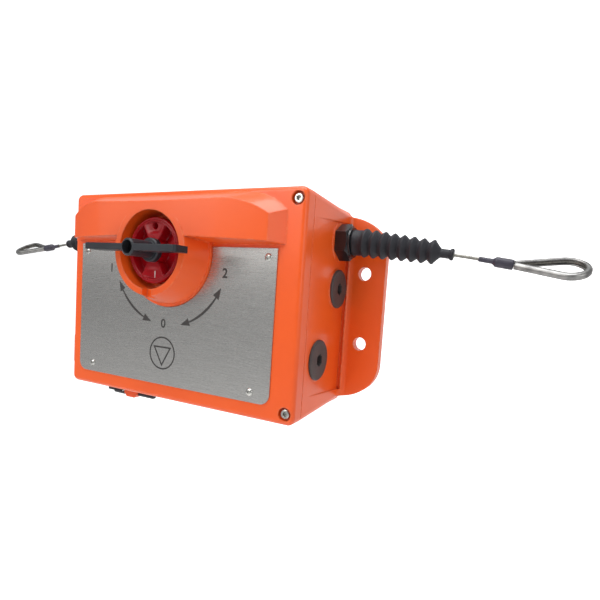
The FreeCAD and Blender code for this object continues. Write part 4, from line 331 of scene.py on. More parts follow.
def finish_of(name, first, second, rough=0.4, rough_change=0.1, metallic=0.0, grain=900.0,
              depth=0.00002, stretch=(1, 1, 1), drift=30.0, contrast=2.0, radius=0.0006,
              coat=0.0, edge_tint=None, edge_tint_share=0.0, sheen=0.0, shine=0.5):
    """Colour = two colours mixed by drift, then the edge tint by the edge mask; on the dial
    the edge tint is a painted highlight.
    Roughness = rough, less or more rough_change with the grain. Normal = rounded edges
    raised by the grain. The noise is read at place * stretch. Lengths are in metres."""
    material = bpy.data.materials.new(name)
    material.use_nodes = True
    tree = material.node_tree
    shader = tree.nodes["Principled BSDF"]
    place = tree.nodes.new("ShaderNodeTexCoord")
    squeeze = tree.nodes.new("ShaderNodeMapping")
    put(squeeze, {"Scale": stretch})
    wire(place, "Object", squeeze, "Vector")
    colour = grouped(tree, DRIFT, First=linear(*first), Second=linear(*second), Scale=drift,
                     Contrast=contrast)
    wire(squeeze, "Vector", colour, "Vector")
    relief = grouped(tree, RELIEF, Scale=grain, Depth=depth, Radius=radius)
    wire(squeeze, "Vector", relief, "Vector")
    wire(relief, "Normal", shader, "Normal")
    roughness = tree.nodes.new("ShaderNodeMapRange")
    put(roughness, {"To Min": rough - rough_change, "To Max": rough + rough_change})
    wire(relief, "Height", roughness, "Value")
    wire(roughness, "Result", shader, "Roughness")
    put(shader, {"Metallic": metallic, "Specular IOR Level": shine, "Coat Weight": coat,
                 "Coat Roughness": 0.08, "Sheen Weight": sheen})
    if edge_tint is None:
        wire(colour, "Color", shader, "Base Color")
    else:
        mask = grouped(tree, EDGE, Radius=radius * 1.4, Amount=edge_tint_share)
        wire(place, "Object", mask, "Vector")
        blend = tree.nodes.new("ShaderNodeMix")
        blend.data_type = "RGBA"
        wire(mask, "Mask", blend, "Factor")
        wire(colour, "Color", blend, "A")
        put(blend, {"B": linear(*edge_tint)})
        wire(blend, "Result", shader, "Base Color")
    FINISHES[name] = material
    print(f"finish {name}: roughness {rough}, metallic {metallic}")


print(f"grey 128 is {linear(128, 128, 128)[0]:.3f} of white light")

# %% [markdown]
# ## Paint, face plate, plastics and rubber
# The case is powder coated: a soft gloss, a faint orange peel and wide rounded edges.
# The face plate is brushed sideways, so its noise is stretched along X. Plastics get a
# little coat where they are moulded shiny, and the dial's paler edges are a painted
# highlight. Rubber stays dull with paler edges.

# %% Coated, moulded and rubber finishes
finish_of("orange_paint", (244, 95, 25), (237, 87, 20), rough=0.34, rough_change=0.07,
          grain=520.0, depth=0.00006, drift=14.0, radius=0.0017, coat=0.2,
          edge_tint=(255, 168, 120), edge_tint_share=0.35)
finish_of("label_plate", (206, 204, 201), (190, 188, 184), rough=0.27, rough_change=0.08,
          metallic=0.95, grain=2600.0, depth=0.00001, stretch=(0.04, 1.0, 1.0),
          drift=900.0, contrast=1.0, radius=0.0003)
# The dial's paler edge tint is a painted highlight along its moulded edges.
finish_of("dial_plastic", (172, 8, 22), (138, 5, 16), rough=0.20, rough_change=0.05,
          grain=300.0, drift=40.0, coat=0.08, shine=0.22, edge_tint=(226, 104, 106), edge_tint_share=0.5)
finish_of("handle_paint", (42, 44, 50), (32, 34, 39), rough=0.38, grain=1500.0,
          depth=0.00003, drift=60.0, radius=0.0007, edge_tint=(112, 112, 112), edge_tint_share=0.5,
          shine=0.4)
finish_of("dark_rubber", (34, 34, 40), (26, 26, 32), rough=0.58, rough_change=0.12,
          grain=1300.0, depth=0.00004, drift=45.0, radius=0.0003, sheen=0.04,
          edge_tint=(84, 84, 92), edge_tint_share=0.6, shine=0.4)
finish_of("plug_plastic", (76, 68, 66), (60, 55, 54), rough=0.55, grain=1900.0,
          depth=0.00004, drift=80.0, radius=0.0005)
finish_of("inner_plastic", (214, 213, 206), (202, 201, 194), rough=0.48, grain=1200.0,
          drift=40.0, radius=0.0005)
finish_of("terminal_plastic", (146, 150, 156), (134, 138, 145), rough=0.45, grain=1200.0,
          drift=40.0, radius=0.0004)

# %% [markdown]
# ## Metals and print
# Turned screws and bushes show fine rings, so their noise is squeezed along Y. The
# rope's wires are too thin to model one by one, and a fast drift between two greys
# stands for them. The rope in the thimble's eye has a darker copy of that finish as
# painted shade. Ink is dull and almost flat; the white mark on the dial is a painted
# glint.

# %% Metal and ink finishes
finish_of("gland_metal", (26, 26, 29), (20, 20, 22), rough=0.30, rough_change=0.08,
          grain=1100.0, depth=0.00003, drift=60.0, radius=0.0009, coat=0.2,
          edge_tint=(70, 70, 74), edge_tint_share=0.4)
finish_of("bronze", (202, 150, 84), (176, 128, 70), rough=0.30, metallic=1.0,
          grain=2000.0, depth=0.00001, stretch=(1, 8, 1), drift=90.0, radius=0.0003)
finish_of("sheet_steel", (190, 193, 190), (168, 172, 168), rough=0.36, metallic=1.0,
          grain=700.0, depth=0.00001, drift=120.0, contrast=3.0, radius=0.0004)
finish_of("stainless", (204, 203, 198), (178, 177, 172), rough=0.24, rough_change=0.08,
          metallic=1.0, grain=2200.0, depth=0.00001, stretch=(1, 6, 1), drift=90.0,
          radius=0.0003)
finish_of("spring_steel", (150, 152, 156), (118, 120, 124), rough=0.28, metallic=1.0,
          grain=1800.0, depth=0.00001, drift=140.0, radius=0.0002)
finish_of("wire_strands", (158, 156, 148), (112, 110, 104), rough=0.38, metallic=0.9,
          grain=3800.0, depth=0.00003, drift=700.0, contrast=2.5, radius=0.0001)
# The same wire, darker as painted shade where it lies in the thimble's channel.
finish_of("wire_in_eye_painted_shade", (124, 122, 116), (84, 82, 78), rough=0.45, metallic=0.85,
          grain=3800.0, depth=0.00003, drift=700.0, contrast=2.5, radius=0.0001)
finish_of("sleeve_cover", (62, 58, 72), (48, 45, 57), rough=0.46, grain=1500.0,
          depth=0.00003, drift=90.0, radius=0.0004)
finish_of("thimble_metal", (160, 159, 156), (120, 119, 118), rough=0.38, metallic=0.95,
          drift=160.0, contrast=3.0, radius=0.0004)
finish_of("pin_metal", (70, 70, 74), (52, 52, 56), rough=0.36, metallic=0.6,
          grain=1500.0, drift=120.0, radius=0.0004, edge_tint=(150, 150, 150), edge_tint_share=0.5)
finish_of("label_ink", (50, 48, 47), (60, 58, 56), rough=0.55, grain=2600.0,
          depth=0.00001, drift=400.0, radius=0.0001)
# White for the dial's lower lobe: a painted glint.
finish_of("white_painted_glint", (232, 230, 226), (214, 212, 208), rough=0.5, grain=2600.0,
          depth=0.00001, drift=300.0, radius=0.0001)

# %% [markdown]
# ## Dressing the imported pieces
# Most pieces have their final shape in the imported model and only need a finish. The
# record names a material slot for each node, so the finish is looked up by that name.
# The locking pin alone is darker than the other pieces of its slot.

# %% Dress the nodes
for part in frame["record"]["subparts"]:
    finish = "pin_metal" if part["node"] == "lock_pin" else part["material_slot"]
    for place in frame["nodes"][part["node"]].material_slots:
        place.material = FINISHES[finish]

# %% [markdown]
# ## Surfaces from grids
# Turned pieces, folds and ropes are all grids of points: rings along a path, joined by
# quads. They could be modelled by hand with Spin and Extrude, but then a changed radius
# means new work. The grids are worked out in millimetres as whole arrays and scaled once.

# %% Grids and meshes


def grid_quads(rows, columns):
    """Quads between rings of points: a point, the next one round the ring (the first
    again after the last), and the same two on the next ring."""
    row = np.arange(rows - 1)[:, None] * columns
    column = np.arange(columns)[None, :]
    following = (column + 1) % columns
    quads = np.stack([row + column, row + following, row + columns + following,
                      row + columns + column], axis=-1)
    return quads.reshape(-1, 4)


def mesh_piece(name, points, faces, finish, body=None, mirror=False, smooth=True, weld=True):
    """An object from points in millimetres, mirrored by x -> -x if asked. Welding joins
    points within 0.002 mm and turns the faces outwards."""
    points = np.array(points, float).reshape(-1, 3) * MM
    faces = np.array(faces, int)
    if mirror:
        points[:, 0] *= -1
        faces = faces[:, ::-1]
    mesh = bpy.data.meshes.new(name)
    mesh.from_pydata(points.tolist(), [], faces.tolist())
    if weld:
        work = bmesh.new()
        work.from_mesh(mesh)
        bmesh.ops.remove_doubles(work, verts=work.verts, dist=2e-6)
        bmesh.ops.recalc_face_normals(work, faces=work.faces)
        work.to_mesh(mesh)
        work.free()
    mesh.polygons.foreach_set("use_smooth", np.full(len(mesh.polygons), smooth))
    mesh.materials.append(FINISHES[finish])
    item = bpy.data.objects.new(name, mesh)
    scene.collection.objects.link(item)
    if body:
        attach(item, body)
    print(f"{name}: {len(mesh.vertices)} points, {len(mesh.polygons)} faces")
    return item


# %% Turned pieces


def rounded_profile(profile, radius, steps=3):
    """Each corner of a (radius, height) profile becomes a curve from one side to the
    other, (1 - t)^2 start + 2 t (1 - t) corner + t^2 end. It starts and ends at the
    given distance from the corner, or at 0.4 of the shorter side."""
    profile = np.array(profile, float)
    share = np.linspace(0, 1, steps + 1)[:, None]
    result = [profile[:1]]
    for before, corner, after in zip(profile, profile[1:], profile[2:]):
        back, on = before - corner, after - corner
        reach = min(radius, 0.4 * np.linalg.norm(back), 0.4 * np.linalg.norm(on))
        start = corner + unit(back) * reach
        end = corner + unit(on) * reach
        result.append((1 - share) ** 2 * start + 2 * share * (1 - share) * corner
                      + share ** 2 * end)
    result.append(profile[-1:])
    return np.concatenate(result)


def basis(axis):
    """Two directions at right angles to an axis: its cross product with Y, or with X
    where it lies near Y, and the cross product of the axis with that."""
    axis = unit(axis)
    side = unit(np.cross(axis, (0.0, 1.0, 0.0) if abs(axis[1]) < 0.9 else (1.0, 0.0, 0.0)))
    return side, np.cross(axis, side)


def lathe(name, profile, at, axis, finish, body, steps=64, radius=0.4, mirror=False):
    """Turned piece: at + axis * height + radius * (cos, sin) about the axis."""
    profile = rounded_profile(profile, radius)
    side, other = basis(axis)
    angle = np.linspace(0, 2 * math.pi, steps, endpoint=False)
    ring = np.cos(angle)[:, None] * side + np.sin(angle)[:, None] * other
    points = (np.array(at, float) + profile[:, 1, None, None] * unit(axis)
              + profile[:, 0, None, None] * ring)
    return mesh_piece(name, points, grid_quads(len(profile), steps), finish, body, mirror)


# %% Paths


def tangents(path):
    """Unit directions along a path: the differences of its neighbours, normalised."""
    along = np.gradient(path, axis=0)
    return along / np.linalg.norm(along, axis=1)[:, None]


def carried_frames(path, start_side):
    """Side and other directions along a path. Each side is the one before it, made
    square to the path again, so this one loop runs in order, over rings and not points."""
    along = tangents(path)
    sides = np.empty_like(path)
    side = np.array(start_side, float)
    for index, direction in enumerate(along):
        side = unit(side - direction * side.dot(direction))
        sides[index] = side
    return sides, np.cross(along, sides)


def distances(path):
    """Length along a path from its start to each of its points."""
    steps = np.linalg.norm(np.diff(path, axis=0), axis=1)
    return np.concatenate([[0], np.cumsum(steps)])


def closed_ends(points):
    """Rings of points with the middle of the first and of the last ring added as rings."""
    first, last = (ring.mean(axis=1, keepdims=True).repeat(points.shape[1], axis=1)
                   for ring in (points[:1], points[-1:]))
    return np.concatenate([first, points, last])


def spline_points(name, control, spacing=0.5):
    """Points on the NURBS line of a route, in millimetres: x, y and z interpolated at
    equal steps of its length."""
    data = bpy.data.curves.new(name, "CURVE")
    data.dimensions = "3D"
    line = data.splines.new("NURBS")
    line.points.add(len(control) - 1)
    for point, place in zip(line.points, control):
        point.co = (*[value * MM for value in place], 1.0)
    line.order_u = 3
    line.use_endpoint_u = True
    data.resolution_u = 40
    item = bpy.data.objects.new(name, data)
    mesh = bpy.data.meshes.new_from_object(item)
    dense = np.empty(len(mesh.vertices) * 3)
    mesh.vertices.foreach_get("co", dense)
    dense = dense.reshape(-1, 3) / MM
    bpy.data.objects.remove(item)
    bpy.data.curves.remove(data)
    bpy.data.meshes.remove(mesh)
    steps = np.linalg.norm(np.diff(dense, axis=0), axis=1)
    dense = dense[np.concatenate([[True], steps > 1e-6])]
    length = distances(dense)
    marks = np.linspace(0, length[-1], int(length[-1] / spacing) + 2)
    return np.stack([np.interp(marks, length, dense[:, axis]) for axis in range(3)], axis=1)


# %% [markdown]
# ## Ropes, sleeves and thimbles
# Each wire rope leaves its pull rod inside the gland, sags a little through the bellows
# and ends in a covered sleeve. A second run goes from the sleeve round the thimble and
# back. A plain tube would look like bent wire, so the tube's radius dips between the
# strands, and the dips turn along the route. The left side is the right side mirrored.

# %% Routes
ROPE_Y, ROPE_Z = -34.0, 66.5
ROPE_RADIUS = 1.5
ROPE_ROUTE = [(155.0, 66.5), (177.0, 66.5), (222.0, 61.2), (263.0, 57.25), (300.0, 51.75)]
EYE_ROUTE = [(4.68, 1.58), (33.39, 11.28), (47.39, 16.01), (59.40, 7.39), (59.40, -7.39),
             (47.39, -16.01), (33.39, -11.28), (4.68, -1.58)]
SLEEVE_START = np.array((282.783, ROPE_Y, 54.309))
SLEEVE_AXIS = np.array((0.98913, 0.0, -0.14703))
SLEEVE_LONG = 29.0
APEX_IN_SLEEVE = 4.178  # how far the two runs would meet inside the sleeve's end
EYE_TILT, EYE_FALL = math.radians(30), math.radians(2)


def eye_turn():
    """Rotation of the eye: the fall about Y times the tilt about X."""
    about_x = np.array([[1, 0, 0], [0, math.cos(EYE_TILT), -math.sin(EYE_TILT)],
                        [0, math.sin(EYE_TILT), math.cos(EYE_TILT)]])
    about_y = np.array([[math.cos(EYE_FALL), 0, math.sin(EYE_FALL)], [0, 1, 0],
                        [-math.sin(EYE_FALL), 0, math.cos(EYE_FALL)]])
    return about_y @ about_x


EYE_TURN = eye_turn()
EYE_APEX = (SLEEVE_START + SLEEVE_AXIS * SLEEVE_LONG
            - EYE_TURN @ np.array((APEX_IN_SLEEVE, 0, 0)))
print("apex of the eye:", EYE_APEX.round(2))

# %% Rope and thimble surfaces


def rope_surface(name, path, mirror, finish, strands=6, lay=11.0, steps=36):
    """Twisted rope: the radius dips between strands, and the strands turn once per lay.
    radius * (1 - 0.16 * (1 - |cos(strands / 2 * (angle - 2 pi s / lay))|))"""
    sides, other = carried_frames(path, (0.0, 1.0, 0.0))
    angle = np.linspace(0, 2 * math.pi, steps, endpoint=False)[None, :]
    twist = 2 * math.pi * distances(path)[:, None] / lay
    lobes = np.abs(np.cos(strands / 2 * (angle - twist)))
    reach = ROPE_RADIUS * (1 - 0.16 * (1 - lobes))
    points = (path[:, None, :] + (reach * np.cos(angle))[..., None] * sides[:, None, :]
              + (reach * np.sin(angle))[..., None] * other[:, None, :])
    ends = [path[:1, None, :].repeat(steps, axis=1), path[-1:, None, :].repeat(steps, axis=1)]
    points = np.concatenate([ends[0], points, ends[1]])
    return mesh_piece(name, points, grid_quads(len(points), steps), finish, "carriage", mirror)


def thimble(name, path, normal, mirror):
    """Channel swept along the eye: path + outward * u + normal * v, with (u, v) round a
    U section that opens outwards."""
    section = np.array([
        (1.6, -3.0), (1.7, -2.6), (1.5, -1.8), (0.0, -1.7), (-0.9, -1.45), (-1.6, -0.7),
        (-1.6, 0.7), (-0.9, 1.45), (0.0, 1.7), (1.5, 1.8), (1.7, 2.6), (1.6, 3.0),
        (0.4, 3.05), (-1.0, 2.95), (-2.2, 2.3), (-2.85, 1.2), (-2.85, -1.2), (-2.2, -2.3),
        (-1.0, -2.95), (0.4, -3.05),
    ])
    outward = np.cross(tangents(path), normal)
    points = closed_ends(path[:, None, :] + section[None, :, 0, None] * outward[:, None, :]
                         + section[None, :, 1, None] * normal)
    return mesh_piece(name, points, grid_quads(len(points), len(section)), "thimble_metal",
                      "carriage", mirror)


# %% Rope ends
SLEEVE_PROFILE = [
    (0.0, 0.3), (1.62, 0.3), (1.62, 0.0), (2.25, 0.0), (2.3, 1.2), (2.3, 11.4), (3.0, 12.6),
    (4.3, 14.0), (4.6, 15.2), (4.5, 20.0), (4.6, 25.0), (4.5, 28.4), (3.4, SLEEVE_LONG),
    (0.0, SLEEVE_LONG),
]


def rope_end(side):
    """Rope, sleeve, eye and thimble of one side."""
    mirror = side == "left"
    path = spline_points(f"rope_route_{side}", [(x, ROPE_Y, z) for x, z in ROPE_ROUTE])
    rope = rope_surface(f"rope_{side}", path, mirror, "wire_strands")
    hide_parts(f"wire_rope_{side}")
    sleeve = lathe(f"crimped_sleeve_{side}", SLEEVE_PROFILE, SLEEVE_START, SLEEVE_AXIS,
                   "sleeve_cover", "carriage", radius=0.6, mirror=mirror)
    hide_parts(f"eye_sleeve_{side}")
    eye_control = [EYE_APEX + EYE_TURN @ np.array((u, v, 0.0)) for u, v in EYE_ROUTE]
    eye_path = spline_points(f"eye_route_{side}", eye_control, spacing=0.6)
    # Darker wire finish: painted shade on the rope inside the thimble.
    eye = rope_surface(f"eye_loop_{side}", eye_path, mirror, "wire_in_eye_painted_shade")
    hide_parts(f"rope_eye_{side}")
    eye_normal = EYE_TURN @ np.array((0, 0, 1.0))
    channel = thimble(f"eye_thimble_{side}", eye_path[1:-1], eye_normal, mirror)
    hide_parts(f"thimble_{side}")


for side in SIDES:
    rope_end(side)

# %% [markdown]
# ## Bellows
# Rubber bellows keep dirt out of the glands and follow the ropes. The folds could be
# made with an array of rings; here the radius is one function of the distance along,
# so the folds can shrink towards the tip, and the line itself can bend down.

# %% Bellows
GLAND_END = 175.0  # x where the folds begin
FOLDS, FIRST_FOLD, SPACING = 8, 2.0, 9.4
FIRST_PEAK, LAST_PEAK, FOLD_DEPTH = 14.2, 11.4, 3.6
CUFF_RADIUS, SNOUT_RADIUS = 12.6, 4.2
CONE_START, CONE_LONG = 68.6, 6.4
LIP_START, LIP_END, LIP_HIGH, LIP_ROUND = 83.0, 86.5, 1.2, 0.9
FALL = math.radians(6.0)


def bellows_profile():
    """Radius along the bellows. A fold is a rounded tent between valley and peak:
    height = 1 - (sqrt(q * q + 0.02) - 0.14) / 0.87, with q the distance from the peak
    in half spacings. A cone, a snout and a rounded lip follow the last fold."""
    along = np.arange(0.0, LIP_END + 0.01, 0.22)
    fold = np.clip(np.round((along - FIRST_FOLD) / SPACING), 0, FOLDS - 1)
    peak = FIRST_PEAK + (LAST_PEAK - FIRST_PEAK) * fold / (FOLDS - 1)
    distance = np.abs(along - (FIRST_FOLD + SPACING * fold)) / (SPACING / 2)
    tent = 1 - (np.sqrt(distance ** 2 + 0.02) - 0.14) / 0.87
    radius = peak - FOLD_DEPTH + FOLD_DEPTH * np.clip(tent, 0, 1)
    radius = np.where(along < FIRST_FOLD, np.maximum(radius, CUFF_RADIUS), radius)
    share = np.clip((along - CONE_START) / CONE_LONG, 0, 1) ** 0.9
    cone = LAST_PEAK - (LAST_PEAK - SNOUT_RADIUS) * share
    radius = np.where(along > CONE_START, cone, radius)
    lip = SNOUT_RADIUS + LIP_HIGH * np.clip(along - LIP_START, 0, 1)
    radius = np.where(along > LIP_START, lip, radius)
    past = (along - (LIP_END - LIP_ROUND)) / LIP_ROUND
    round_end = LIP_ROUND * (1 - np.sqrt(np.clip(1 - past ** 2, 0, 1)))
    return along, np.where(past > 0, SNOUT_RADIUS + LIP_HIGH - round_end, radius)


def bellows(side):
    """Rings along a line that is level over the cuff and falls six degrees after it; a
    plain inner wall leads back to the first ring."""
    along, radius = bellows_profile()
    cuff = np.array([(-10.3, 11.05), (-10.3, 12.3), (-10.1, 12.6), (-8.6, 12.75),
                     (-8.1, 12.75), (-7.7, 12.5), (-0.6, 12.5)])
    along = np.concatenate([cuff[:, 0], along, [LIP_END, LIP_END]])
    radius = np.concatenate([cuff[:, 1], radius, [3.4, 1.7]])
    fall = FALL * np.clip((along + 1.5) / 4.0, 0, 1)
    step = np.diff(along, prepend=along[0])
    x = GLAND_END + along[0] + np.cumsum(step * np.cos(fall))
    z = ROPE_Z - np.cumsum(step * np.sin(fall))
    wall = np.array([(75.0, 1.7), (72.0, 5.5), (66.0, 6.4), (4.0, 9.2), (-0.3, 9.6),
                     (-0.6, 11.05), (-10.3, 11.05)])
    x, z, fall = (np.concatenate([line, np.interp(wall[:, 0], along, line)])
                  for line in (x, z, fall))
    radius = np.concatenate([radius, wall[:, 1]])
    steps = 72
    angle = np.linspace(0, 2 * math.pi, steps, endpoint=False)
    points = np.empty((len(x), steps, 3))
    points[..., 0] = x[:, None] + (radius * np.sin(fall))[:, None] * np.sin(angle)
    points[..., 1] = ROPE_Y + radius[:, None] * np.cos(angle)
    points[..., 2] = z[:, None] + (radius * np.cos(fall))[:, None] * np.sin(angle)
    mirror = side == "left"
    item = mesh_piece(f"rubber_bellows_{side}", points, grid_quads(len(x), steps),
                      "dark_rubber", mirror=mirror)
    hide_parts(f"bellows_{side}")
    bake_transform(item)


# %% [markdown]
# ## Springs and the split ring
# Two springs push the rack back to the middle, and a ring of two turns ties the locking
# pin to its lug. Both are round wire along a helix. A Screw modifier could draw one
# turn after another, but a path of points also allows the closed turns at both ends.

# %% Springs
SPRING_START, SPRING_RADIUS, SPRING_WIRE = 61.0, 8.9, 0.95
TURNS, CLOSED_RISE, OPEN_EXTRA = 9, 2.0, 58.5


def coil(name, path, radius, start_side, finish, body=None, mirror=False):
    """A round wire: rings of twelve points carried along a path, closed at both ends."""
    sides, other = carried_frames(path, start_side)
    ring = np.linspace(0, 2 * math.pi, 12, endpoint=False)
    points = closed_ends(path[:, None, :]
                         + radius * np.cos(ring)[None, :, None] * sides[:, None, :]
                         + radius * np.sin(ring)[None, :, None] * other[:, None, :])
    return mesh_piece(name, points, grid_quads(len(points), 12), finish, body, mirror)


def spring(side):
    """Helix: the first and the last turn rise by the closed rise alone, and the turns
    between them share the open length."""
    turns = np.linspace(0, TURNS, 900)
    open_share = np.clip((turns - 1) / (TURNS - 2), 0, 1)
    x = SPRING_START + CLOSED_RISE * turns + OPEN_EXTRA * open_share
    angle = 2 * math.pi * turns
    path = np.stack([x, ROPE_Y + SPRING_RADIUS * np.cos(angle),
                     ROPE_Z + SPRING_RADIUS * np.sin(angle)], axis=1)
    mirror = side == "left"
    item = coil(f"coil_spring_{side}", path, SPRING_WIRE, (1.0, 0.0, 0.0), "spring_steel",
                mirror=mirror)
    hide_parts(f"centring_spring_{side}")
    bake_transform(item)


for side in SIDES:
    bellows(side)
    spring(side)

# %% Split ring
RING_MIDDLE = (-83.0, -83.0, -113.409)
RING_AXIS = (6.4, 0.0, -14.0)
RING_RADIUS, RING_WIRE, RING_RISE = 7.697, 0.36, 0.4


def split_ring():
    """Two turns of wire side by side, through the lug and the locking pin's head:
    middle + rise * (turn - 1) * axis + radius * (cos, sin) about the axis."""
    axis = unit(RING_AXIS)
    side, other = basis(axis)
    turns = np.linspace(0, 2, 240)[:, None]
    angle = 2 * math.pi * turns
    path = (np.array(RING_MIDDLE) + RING_RISE * (turns - 1) * axis
            + RING_RADIUS * (np.cos(angle) * side + np.sin(angle) * other))
    item = coil("split_ring", path, RING_WIRE, axis, "stainless", "base")
    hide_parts("tether_ring")


split_ring()

# %% [markdown]
# ## Dial
# The red dial is a moulding: a ring at full height, two lobes that narrow towards the
# middle, and sunk pockets between them. Cutting boxes from a disc would leave hard
# walls. As a height over a polar grid, each form is one smooth step, and the rounded
# walls come by themselves.

# %% Dial height
DIAL_FACE = FRONT - 21.8
DIAL_RIM, DIAL_THICK = 31.6, 14.0
POCKET_DEEP, POCKET_RING, HUB_RADIUS = 9.5, 27.6, 10.6
LOCK_HOLE_UP, LOCK_HOLE_RADIUS, LOCK_HOLE_DEEP = 23.0, 3.1, 8.0
RIM_START, RIM_DROP = 30.4, 1.1
GROOVE_RADIUS, GROOVE_DEEP = 28.6, 0.8


def smooth_step(value):
    """0 below 0, 1 above 1, and 3 v^2 - 2 v^3 between."""
    value = np.clip(value, 0, 1)
    return value * value * (3 - 2 * value)


def dial_height(radius, x, up):
    """Pockets lie inside the ring, beside the lobes and outside the hub, where a lobe's
    half width is 5 + 9 t^0.8, with t from 0 to 1 between 10 and 25 mm from the middle.
    Off that come a dish in each lobe, the lock hole, the rounded rim and a groove."""
    half = 5.0 + 9.0 * np.clip((np.abs(up) - 10.0) / 15.0, 0, 1) ** 0.8
    inside_ring = smooth_step((POCKET_RING - radius) / 1.6)
    beside_lobe = smooth_step((np.abs(x) - half) / 2.2)
    outside_hub = smooth_step((radius - HUB_RADIUS) / 1.5)
    height = -POCKET_DEEP * inside_ring * beside_lobe * outside_hub
    dish = np.clip(1 - (x / np.maximum(half - 2.0, 1.0)) ** 2, 0, 1)
    height -= 1.5 * dish * smooth_step((np.abs(up) - 15.0) / 4.0) * inside_ring
    hole = np.hypot(x, up - LOCK_HOLE_UP)
    height -= LOCK_HOLE_DEEP * smooth_step((LOCK_HOLE_RADIUS - hole) / 0.5)
    height -= RIM_DROP * smooth_step((radius - RIM_START) / 1.2) ** 2
    return height - GROOVE_DEEP * np.exp(-((radius - GROOVE_RADIUS) / 0.35) ** 2)

# %% Dial


def dial():
    """Polar grid at (radius cos, radius sin), raised by dial_height, with side and back."""
    radius = np.concatenate([np.linspace(0.0, RIM_START, 96),
                             [30.8, 31.2, 31.45, DIAL_RIM]])[:, None]
    steps = 256
    angle = np.linspace(0, 2 * math.pi, steps, endpoint=False)
    x, up = radius * np.cos(angle), radius * np.sin(angle)
    rows = [np.stack([x, DIAL_FACE - dial_height(radius, x, up), AXIS_Z + up], axis=-1)]
    for reach, depth in ((DIAL_RIM, 3.0), (DIAL_RIM, DIAL_THICK - 0.5),
                         (DIAL_RIM - 0.5, DIAL_THICK), (0.0, DIAL_THICK)):
        edge = np.stack([reach * np.cos(angle), np.full(steps, DIAL_FACE + depth),
                         AXIS_Z + reach * np.sin(angle)], axis=-1)
        rows.append(edge[None])
    points = np.concatenate(rows)
    item = mesh_piece("moulded_dial", points, grid_quads(len(points), steps),
                      "dial_plastic", "dial_assembly")
    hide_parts("dial")


dial()

# %% [markdown]
# ## Print on the face plate
# The plate shows two double arrows for the dial's turn, the numbers of its three
# positions and a plain ring with a triangle. A picture texture would blur from close,
# so the print is thin geometry a hair in front of the plate, cut from outlines.

# %% Flat shapes
PLATE_FACE = FRONT - 1.2
INK_AND_GLINT_THICK = 0.05


def flat_shape(name, outlines, front, finish, body):
    """Printed shapes and the dial's painted glint, thin in front of a plane, from closed
    outlines in (x, z). Quad i joins points i and i + 1 to their partners, counted back
    from the outline's end, and is turned round where its normal would point into the plate."""
    faces, first = [], 0
    for outline in outlines:
        step = np.arange(len(outline) // 2 - 1)
        last = first + len(outline) - 1
        faces.append(np.stack([first + step, first + step + 1, last - step - 1, last - step], 1))
        first += len(outline)
    faces = np.concatenate(faces)
    flat = np.concatenate(outlines)
    points = np.stack([flat[:, 0], np.full(len(flat), front - INK_AND_GLINT_THICK), flat[:, 1]], axis=1)
    across, along = (flat[faces[:, corner]] - flat[faces[:, 0]] for corner in (1, 2))
    inward = across[:, 0] * along[:, 1] < across[:, 1] * along[:, 0]
    faces[inward] = faces[inward, ::-1]
    item = mesh_piece(name, points, faces, finish, body, smooth=False, weld=False)


def arc(centre, radius, angle):
    """Points centre + radius * (cos, sin) of the angle."""
    return np.stack([centre[0] + radius * np.cos(angle), centre[1] + radius * np.sin(angle)], 1)


def band(centre, inner, outer, start, end, steps=48):
    """Ring segment as an outline: out along the inner edge, back along the outer one."""
    angle = np.radians(np.linspace(start, end, steps))
    return np.concatenate([arc(centre, inner, angle), arc(centre, outer, angle)[::-1]])


# %% Arrows, ring, triangle and painted glint
ARROW_RADIUS, HEAD_DEGREES = 73.5, 8.5
DIAL_MIDDLE = (0.0, AXIS_Z)
MARK_MIDDLE = (-3.0, AXIS_Z - 102.0)
GLINT_PLANE = FRONT - 20.38


def arrow_arc(start, end):
    """Arc about the dial's axis with a head at both ends, thicker in its middle: its
    half width is 0.8 + 0.5 (1 - s^2), with s from -1 to 1."""
    half = 0.8 + 0.5 * (1 - np.linspace(-1, 1, 48) ** 2)
    outlines = [band(DIAL_MIDDLE, ARROW_RADIUS - half, ARROW_RADIUS + half, start, end)]
    for tail, sign in ((start, -1), (end, 1)):
        nose = tail + sign * HEAD_DEGREES
        reach = ARROW_RADIUS + np.array([-4.0, -0.1, 0.1, 4.0])
        outlines.append(arc(DIAL_MIDDLE, reach, np.radians([tail, nose, nose, tail])))
    return outlines


def triangle_bars(centre, outer, inner):
    """An inverted triangle as bars between an outer and an inner one, with corners at
    30, 150 and 270 degrees."""
    angle = np.radians([30.0, 150.0, 270.0])
    outside, inside = arc(centre, outer, angle), arc(centre, inner, angle)
    return [np.array([outside[i], outside[j], inside[j], inside[i]])
            for i, j in ((0, 1), (1, 2), (2, 0))]


flat_shape("arrow_print", arrow_arc(-66.0, -34.0) + arrow_arc(-146.0, -114.0), PLATE_FACE,
           "label_ink", "cover")
flat_shape("ring_print",
           [band(MARK_MIDDLE, 15.3, 16.9, 0, 360, 96)] + triangle_bars(MARK_MIDDLE, 13.8, 10.6),
           PLATE_FACE, "label_ink", "cover")
# A white mark on the dial's lower lobe: a painted glint.
flat_shape("dial_painted_glint", [np.array([(1.4, AXIS_Z - 19.6), (2.6, AXIS_Z - 19.6),
                                   (2.4, AXIS_Z - 26.0), (1.6, AXIS_Z - 26.0)])],
           GLINT_PLANE, "white_painted_glint", "dial_assembly")

# %% Numbers
NUMERAL_HIGH, NUMERAL_BOLDER, NUMERAL_THICK = 12.5, 0.3, 0.02


